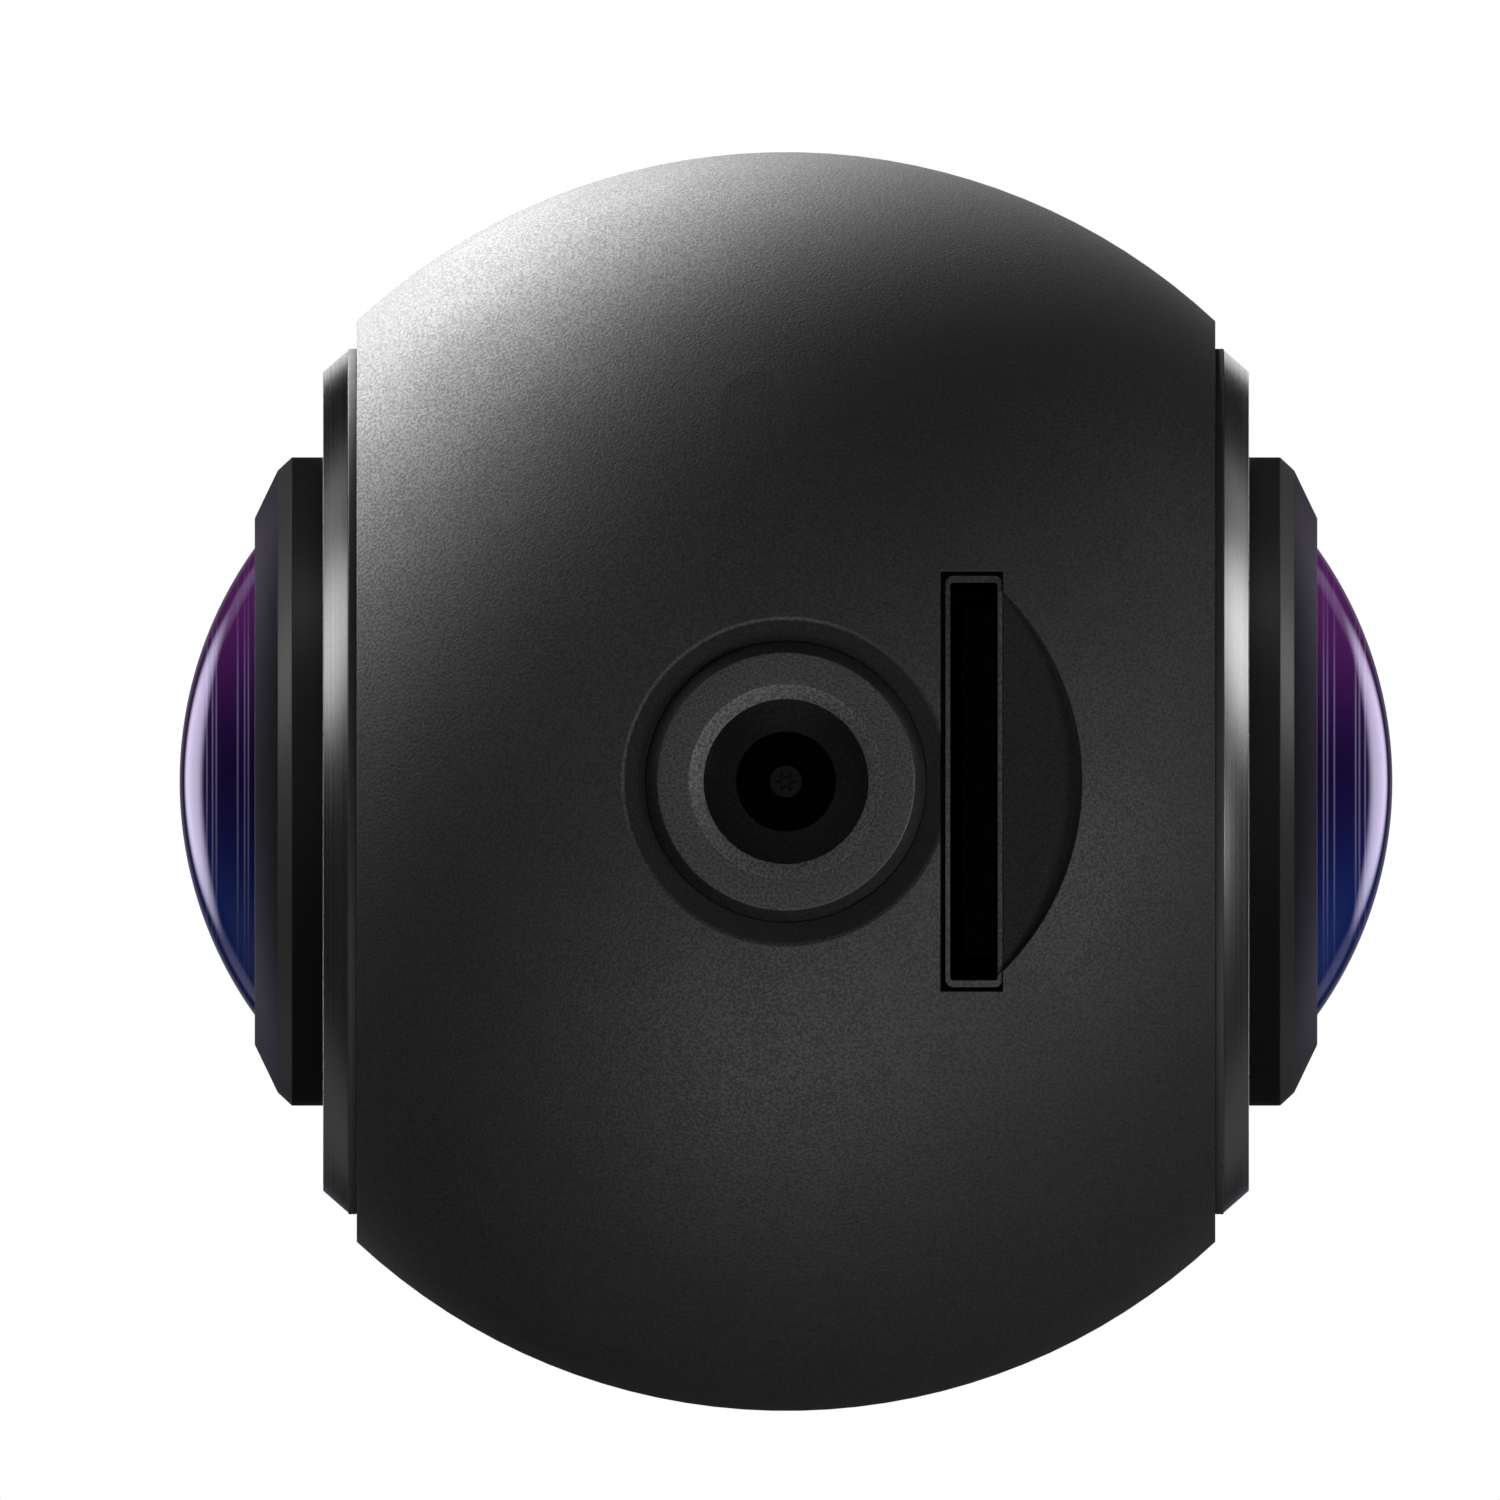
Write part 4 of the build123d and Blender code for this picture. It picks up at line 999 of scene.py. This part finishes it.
barrel_black = anodised_barrel("black_anodised_barrel")
barrel_outline = [
    (barrel_rear_x, rear_bore_radius),
    (barrel_rear_x, rear_tube_radius),
    (body_rear_x, rear_tube_radius),
    (body_rear_x, body_radius),
    (barrel_flange_x, body_radius),
    (barrel_flange_x, barrel_flange_radius),
    (flat_x, barrel_flange_radius),
    (flat_x, barrel_radius),
    (shoulder_x, barrel_radius),
    (first_bevel_x, first_bevel_radius),
    (barrel_front_x, barrel_face_radius),
    (barrel_front_x, dome_base_radius),
    (lens_seat_x, dome_base_radius),
    (lens_seat_x, lens_bore_radius),
    (second_seat_x, lens_bore_radius),
    (second_seat_x, second_bore_radius),
    (rear_seat_x, second_bore_radius),
    (rear_seat_x, rear_bore_radius),
]
barrel_outline = rounded(barrel_outline, barrel_corner)
turned_pair("turned_barrel", barrel_outline, barrel_black, "barrel_black", "lens_barrel")
dress(barrel_black, *both("aperture_stop", "lens_rings"))


# Inner lens elements: ground glass with blue and green coatings, stacked in each barrel.
# Black spacers and a retaining ring hold them, and a filter lies over the sensor.
drift_size = 4.0 * mm
tint_drift = 0.8


def coated_glass(name, tint, sheen, transmission):
    """Tinted glass with a coloured sheen."""
    material, tree, shader, place = new_material(name)
    drift = noise(tree, place, drift_size, detail=1.0)
    deeper = [tint_drift * value for value in tint]
    feed(tree, shader, {
        "Base Color": blend_colours(tree, drift, tint, deeper),
        "Roughness": 0.03,
        "IOR": 1.6,
        "Transmission Weight": transmission,
        "Specular Tint": sheen,
        "Coat Weight": 0.6,
    })
    return material


inner_glass = coated_glass(
    "coated_inner_glass",
    tint=(0.04, 0.09, 0.12),
    sheen=(0.3, 0.6, 1.0),
    transmission=0.3,
)
dress(inner_glass, *both("second_lens", "third_lens", "rear_lens"))
filter_glass = coated_glass(
    "filter_glass",
    tint=(0.05, 0.2, 0.22),
    sheen=(0.6, 0.9, 1.0),
    transmission=0.5,
)
dress(filter_glass, *both("ir_filter"))


# Front lenses: large polished domes, whose colour is a painted reflection of their coating, violet
# turning to deep blue.
# Thin light rings are painted on them as reflections of the rims of the elements behind.
dome_apex_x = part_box("right_front_lens")[1].x
dome_radius = 12.73 * mm
dome_centre_x = dome_apex_x - dome_radius
dome_rim_angle = atan2(dome_base_radius, barrel_front_x - dome_centre_x)
dome_steps = 48
rear_clear = 5.6 * mm
rear_sag = 2.57 * mm
rear_curve = (rear_clear**2 + rear_sag**2) / (2 * rear_sag)
rear_angle = atan2(rear_clear, rear_curve - rear_sag)
# Painted reflections: light rings at these distances along the lens axis, over the coating's painted
# colour.
ring_places = [place * mm for place in (18.40, 18.22, 18.10, 17.42, 17.20, 17.08)]
ring_width = 0.045 * mm
ring_reflection_strength = 0.35
ring_fade = (2.0 * mm, 6.0 * mm)
ring_end_share = 0.15
ring_reflection_colour = (0.5, 0.44, 0.75)
violet_range = (-6.4 * mm, -0.4 * mm)
blue_range = (-0.5 * mm, 5.5 * mm)
violet, dark_violet, deep_blue = (0.09, 0.013, 0.115), (0.011, 0.004, 0.05), (0.006, 0.026, 0.19)


def painted_reflection_dome(name):
    """Painted reflection that runs from purple to navy along Y, with thin painted light rings at fixed
    distances along the lens axis.
    """
    material, tree, shader, place = new_material(name)
    axes = split_axes(tree, place)
    lower = ramp(tree, axes["Y"], *violet_range)
    blue = ramp(tree, axes["Y"], *blue_range)
    body = blend_colours(tree, blue, blend_colours(tree, lower, violet, dark_violet), deep_blue)
    distance = math_node(tree, "ABSOLUTE", axes["X"])
    rings = None
    for ring_place in ring_places:
        offset = math_node(tree, "ABSOLUTE", math_node(tree, "SUBTRACT", distance, ring_place))
        line = ramp(tree, offset, 0.0, ring_width, 1.0, 0.0)
        rings = line if rings is None else math_node(tree, "MAXIMUM", rings, line)
    ends = ramp(tree, math_node(tree, "ABSOLUTE", axes["Y"]), *ring_fade, 1.0, ring_end_share)
    shine = math_node(tree, "MULTIPLY", math_node(tree, "MULTIPLY", rings, ends), ring_reflection_strength)
    feed(tree, shader, {
        "Base Color": blend_colours(tree, shine, body, ring_reflection_colour),
        "Roughness": 0.04,
        "IOR": 1.5,
        "Specular Tint": (0.86, 0.8, 1.0),
    })
    return material


dome_outline = []
for step in range(dome_steps + 1):
    angle = dome_rim_angle * step / dome_steps
    dome_outline.append((dome_centre_x + dome_radius * cos(angle), dome_radius * sin(angle)))
dome_outline.append((lens_seat_x, dome_base_radius))
for step in range(dome_steps + 1):
    angle = rear_angle * (1 - step / dome_steps)
    along = lens_seat_x + rear_sag - rear_curve + rear_curve * cos(angle)
    dome_outline.append((along, rear_curve * sin(angle)))
dome_glass = painted_reflection_dome("violet_painted_reflection_glass")
turned_pair("polished_dome", dome_outline, dome_glass, "dome_glass", "front_lens")


# Floor: a round pale sheet that the camera stands on, which fades into the white around it.
# It shows from above only, so that the underside can be looked at, and it takes the camera's shadow.
floor_radius = 150 * mm
floor_fade = 60 * mm
floor_gap = 0.01 * mm
floor_cloud = 20 * mm
floor_steps = 96
floor_pale = (0.84, 0.84, 0.84)
floor_paler = (0.86, 0.86, 0.86)


def pale_floor_material(name):
    """Matt paper that is seen through from below and beyond its edge."""
    material, tree, shader, place = new_material(name)
    cloud = noise(tree, place, floor_cloud)
    feed(tree, shader, {
        "Base Color": blend_colours(tree, cloud, floor_pale, floor_paler),
        "Roughness": 0.9,
    })
    reach = add(tree, "ShaderNodeVectorMath", {0: place}, operation="LENGTH").outputs["Value"]
    gone = ramp(tree, reach, floor_fade, floor_radius)
    below = add(tree, "ShaderNodeNewGeometry", {}).outputs["Backfacing"]
    choice = add(tree, "ShaderNodeMixShader", {
        0: math_node(tree, "MAXIMUM", below, gone),
        1: shader.outputs["BSDF"],
        2: add(tree, "ShaderNodeBsdfTransparent", {}).outputs["BSDF"],
    })
    feed(tree, tree.nodes["Material Output"], {"Surface": choice.outputs["Shader"]})
    return material


floor_work = bmesh.new()
bmesh.ops.create_circle(floor_work, cap_ends=True, segments=floor_steps, radius=floor_radius)
floor_mesh = bpy.data.meshes.new("floor")
floor_work.to_mesh(floor_mesh)
floor_work.free()
floor_mesh.materials.append(pale_floor_material("pale_floor"))
floor = new_object("floor", floor_mesh)
floor.location.z = -floor_gap
floor.visible_shadow = False
floor.visible_diffuse = False
floor.visible_glossy = False


# Studio: white behind the camera's subject, soft panels for the gloss and a dim room for the rest.
# The white shows to the photograph's camera and through glass, and lights nothing.
room_light = 0.17
room_gloss = 0.01
white = (1.0, 1.0, 1.0)
lavender = (0.82, 0.74, 1.0)
white_panels = [
    ((0.0, 0.0, -1.0), 5.0, 40.0, 0.25),
    ((-0.5, -0.65, -0.55), 5.0, 32.0, 0.35),
]
lavender_panels = [((0.0, 0.0, 1.0), 1.0, 17.0, 0.16)]
for _, side in sides:
    white_panels += [
        ((0.93 * side, -0.36, 0.02), 4.0, 18.0, 1.33 + 0.22 * side),
        ((0.75 * side, -0.55, 0.36), 3.0, 13.0, 0.25),
        ((0.6 * side, 0.53, 0.6), 4.0, 25.0, 0.06),
    ]
    lavender_panels += [
        ((0.48 * side, -0.01, 0.88), 5.0, 12.0, 2.6),
        ((0.44 * side, -0.24, 0.87), 1.0, 7.0, 0.28),
        ((0.39 * side, 0.22, 0.9), 1.0, 7.0, 0.2),
    ]
world = bpy.data.worlds.new("studio")
bpy.context.scene.world = world
world.use_nodes = True
studio = world.node_tree
studio.nodes.clear()
direction = studio.nodes.new("ShaderNodeTexCoord").outputs["Generated"]


def panel_glow(panels):
    """Sum of round soft-edged panels, each with its aim, inner and outer angle and strength."""
    total = None
    for aim, inner, outer, strength in panels:
        aimed = {0: direction, 1: Vector(aim).normalized()}
        toward = add(studio, "ShaderNodeVectorMath", aimed, operation="DOT_PRODUCT").outputs["Value"]
        glow = ramp(studio, toward, cos(radians(outer)), cos(radians(inner)), 0.0, strength)
        total = glow if total is None else math_node(studio, "ADD", total, glow)
    return total


def glowing(colour, strength):
    """Light of the world in one colour."""
    glow = {"Color": colour, "Strength": strength}
    return add(studio, "ShaderNodeBackground", glow).outputs["Background"]


rays = studio.nodes.new("ShaderNodeLightPath").outputs
white_rays = math_node(studio, "MAXIMUM", rays["Is Camera Ray"], rays["Is Transmission Ray"])
other_rays = math_node(studio, "SUBTRACT", 1.0, white_rays)
matt_rays = math_node(studio, "SUBTRACT", 1.0, rays["Is Glossy Ray"])
dim_light = math_node(studio, "MULTIPLY", matt_rays, room_light)
gloss_light = math_node(studio, "ADD", panel_glow(white_panels), room_gloss)
room = math_node(studio, "MULTIPLY_ADD", rays["Is Glossy Ray"], gloss_light, dim_light)
white_glow = math_node(studio, "ADD", math_node(studio, "MULTIPLY", other_rays, room), white_rays)
tinted_glow = math_node(studio, "MULTIPLY", panel_glow(lavender_panels), rays["Is Glossy Ray"])
both_glows = add(studio, "ShaderNodeAddShader", {
    0: glowing(white, white_glow),
    1: glowing(lavender, math_node(studio, "MULTIPLY", tinted_glow, other_rays)),
})
add(studio, "ShaderNodeOutputWorld", {"Surface": both_glows.outputs["Shader"]})


# Lamps: a key and a smaller one beside it, behind the camera at the upper left of the picture.
# The rings, the barrels, the domes and the insert have lamps of their own, and flags keep the
# others off them.
lamp_distance = 0.45


def softbox(name, aim, size, irradiance):
    """Disc lamp that gives the irradiance at the middle of the ball."""
    lamp = bpy.data.lights.new(name, "AREA")
    lamp.shape = "DISK"
    lamp.size = size
    lamp.energy = irradiance * pi * lamp_distance**2
    holder = new_object(name, lamp)
    holder.location = ball_centre + lamp_distance * Vector(aim).normalized()
    holder.rotation_euler = (-Vector(aim)).to_track_quat("-Z", "Y").to_euler()
    holder.visible_camera = False
    return holder


def shine_on(name, link_state, pieces):
    """List of pieces that lamps shine on alone, or leave out."""
    chosen = bpy.data.collections.new(name)
    for piece in pieces:
        chosen.objects.link(bpy.data.objects[piece])
    for member in chosen.collection_objects:
        member.light_linking.link_state = link_state
    return chosen


rings, barrels, domes = both("bright_ring"), both("turned_barrel"), both("polished_dome")
beside_lenses = shine_on("lenses_flagged", "EXCLUDE", rings + barrels + domes)
beside_barrels = shine_on("barrels_flagged", "EXCLUDE", barrels)
rings_alone = shine_on("rings_alone", "INCLUDE", rings)
barrels_alone = shine_on("barrels_alone", "INCLUDE", barrels)
domes_alone = shine_on("domes_alone", "INCLUDE", domes)
socket_alone = shine_on("socket_alone", "INCLUDE", ["threaded_insert"])
for lamp_name, aim, size, irradiance, receivers in (
    ("key_softbox", (-0.61, -0.57, 0.55), 0.4, 6.3, beside_lenses),
    ("side_softbox", (-0.27, -0.62, 0.735), 0.24, 2.5, beside_lenses),
    ("right_fill", (0.75, 0.22, -0.63), 0.16, 0.62, beside_barrels),
    ("low_fill", (0.0, 0.74, -0.67), 0.2, 0.64, beside_barrels),
    ("ring_strip", (0.0, -0.24, 0.97), 0.26, 0.26, rings_alone),
    ("barrel_strip", (0.0, -0.9, -0.43), 0.2, 0.8, barrels_alone),
    ("socket_fill", (-0.66, -0.66, -0.35), 0.2, 0.42, socket_alone),
    ("left_dome_softbox", (-0.557, -0.609, 0.565), 0.18, 4.2, domes_alone),
    ("right_dome_softbox", (0.557, -0.609, 0.565), 0.18, 4.2, domes_alone),
):
    softbox(lamp_name, aim, size, irradiance).light_linking.receiver_collection = receivers


# Camera of the photograph: square on to the underside, far away, with the card slot on the right.
# Its frame is as wide as the photograph at the object's real size.
photo_pixels = 1500
metres_per_pixel = 0.031771 * mm
photo_centre = Vector((-1.144 * mm, -1.001 * mm))
view_distance = 0.2
camera_data = bpy.data.cameras.new("photo_camera")
camera_data.type = "ORTHO"
camera_data.ortho_scale = photo_pixels * metres_per_pixel
camera_data.clip_start = 0.01
camera = new_object("photo_camera", camera_data)
camera.location = (photo_centre.x, photo_centre.y, -view_distance)
camera.rotation_euler = (pi, 0.0, 0.0)
bpy.context.scene.camera = camera

bpy.context.scene.view_settings.view_transform = "Standard"
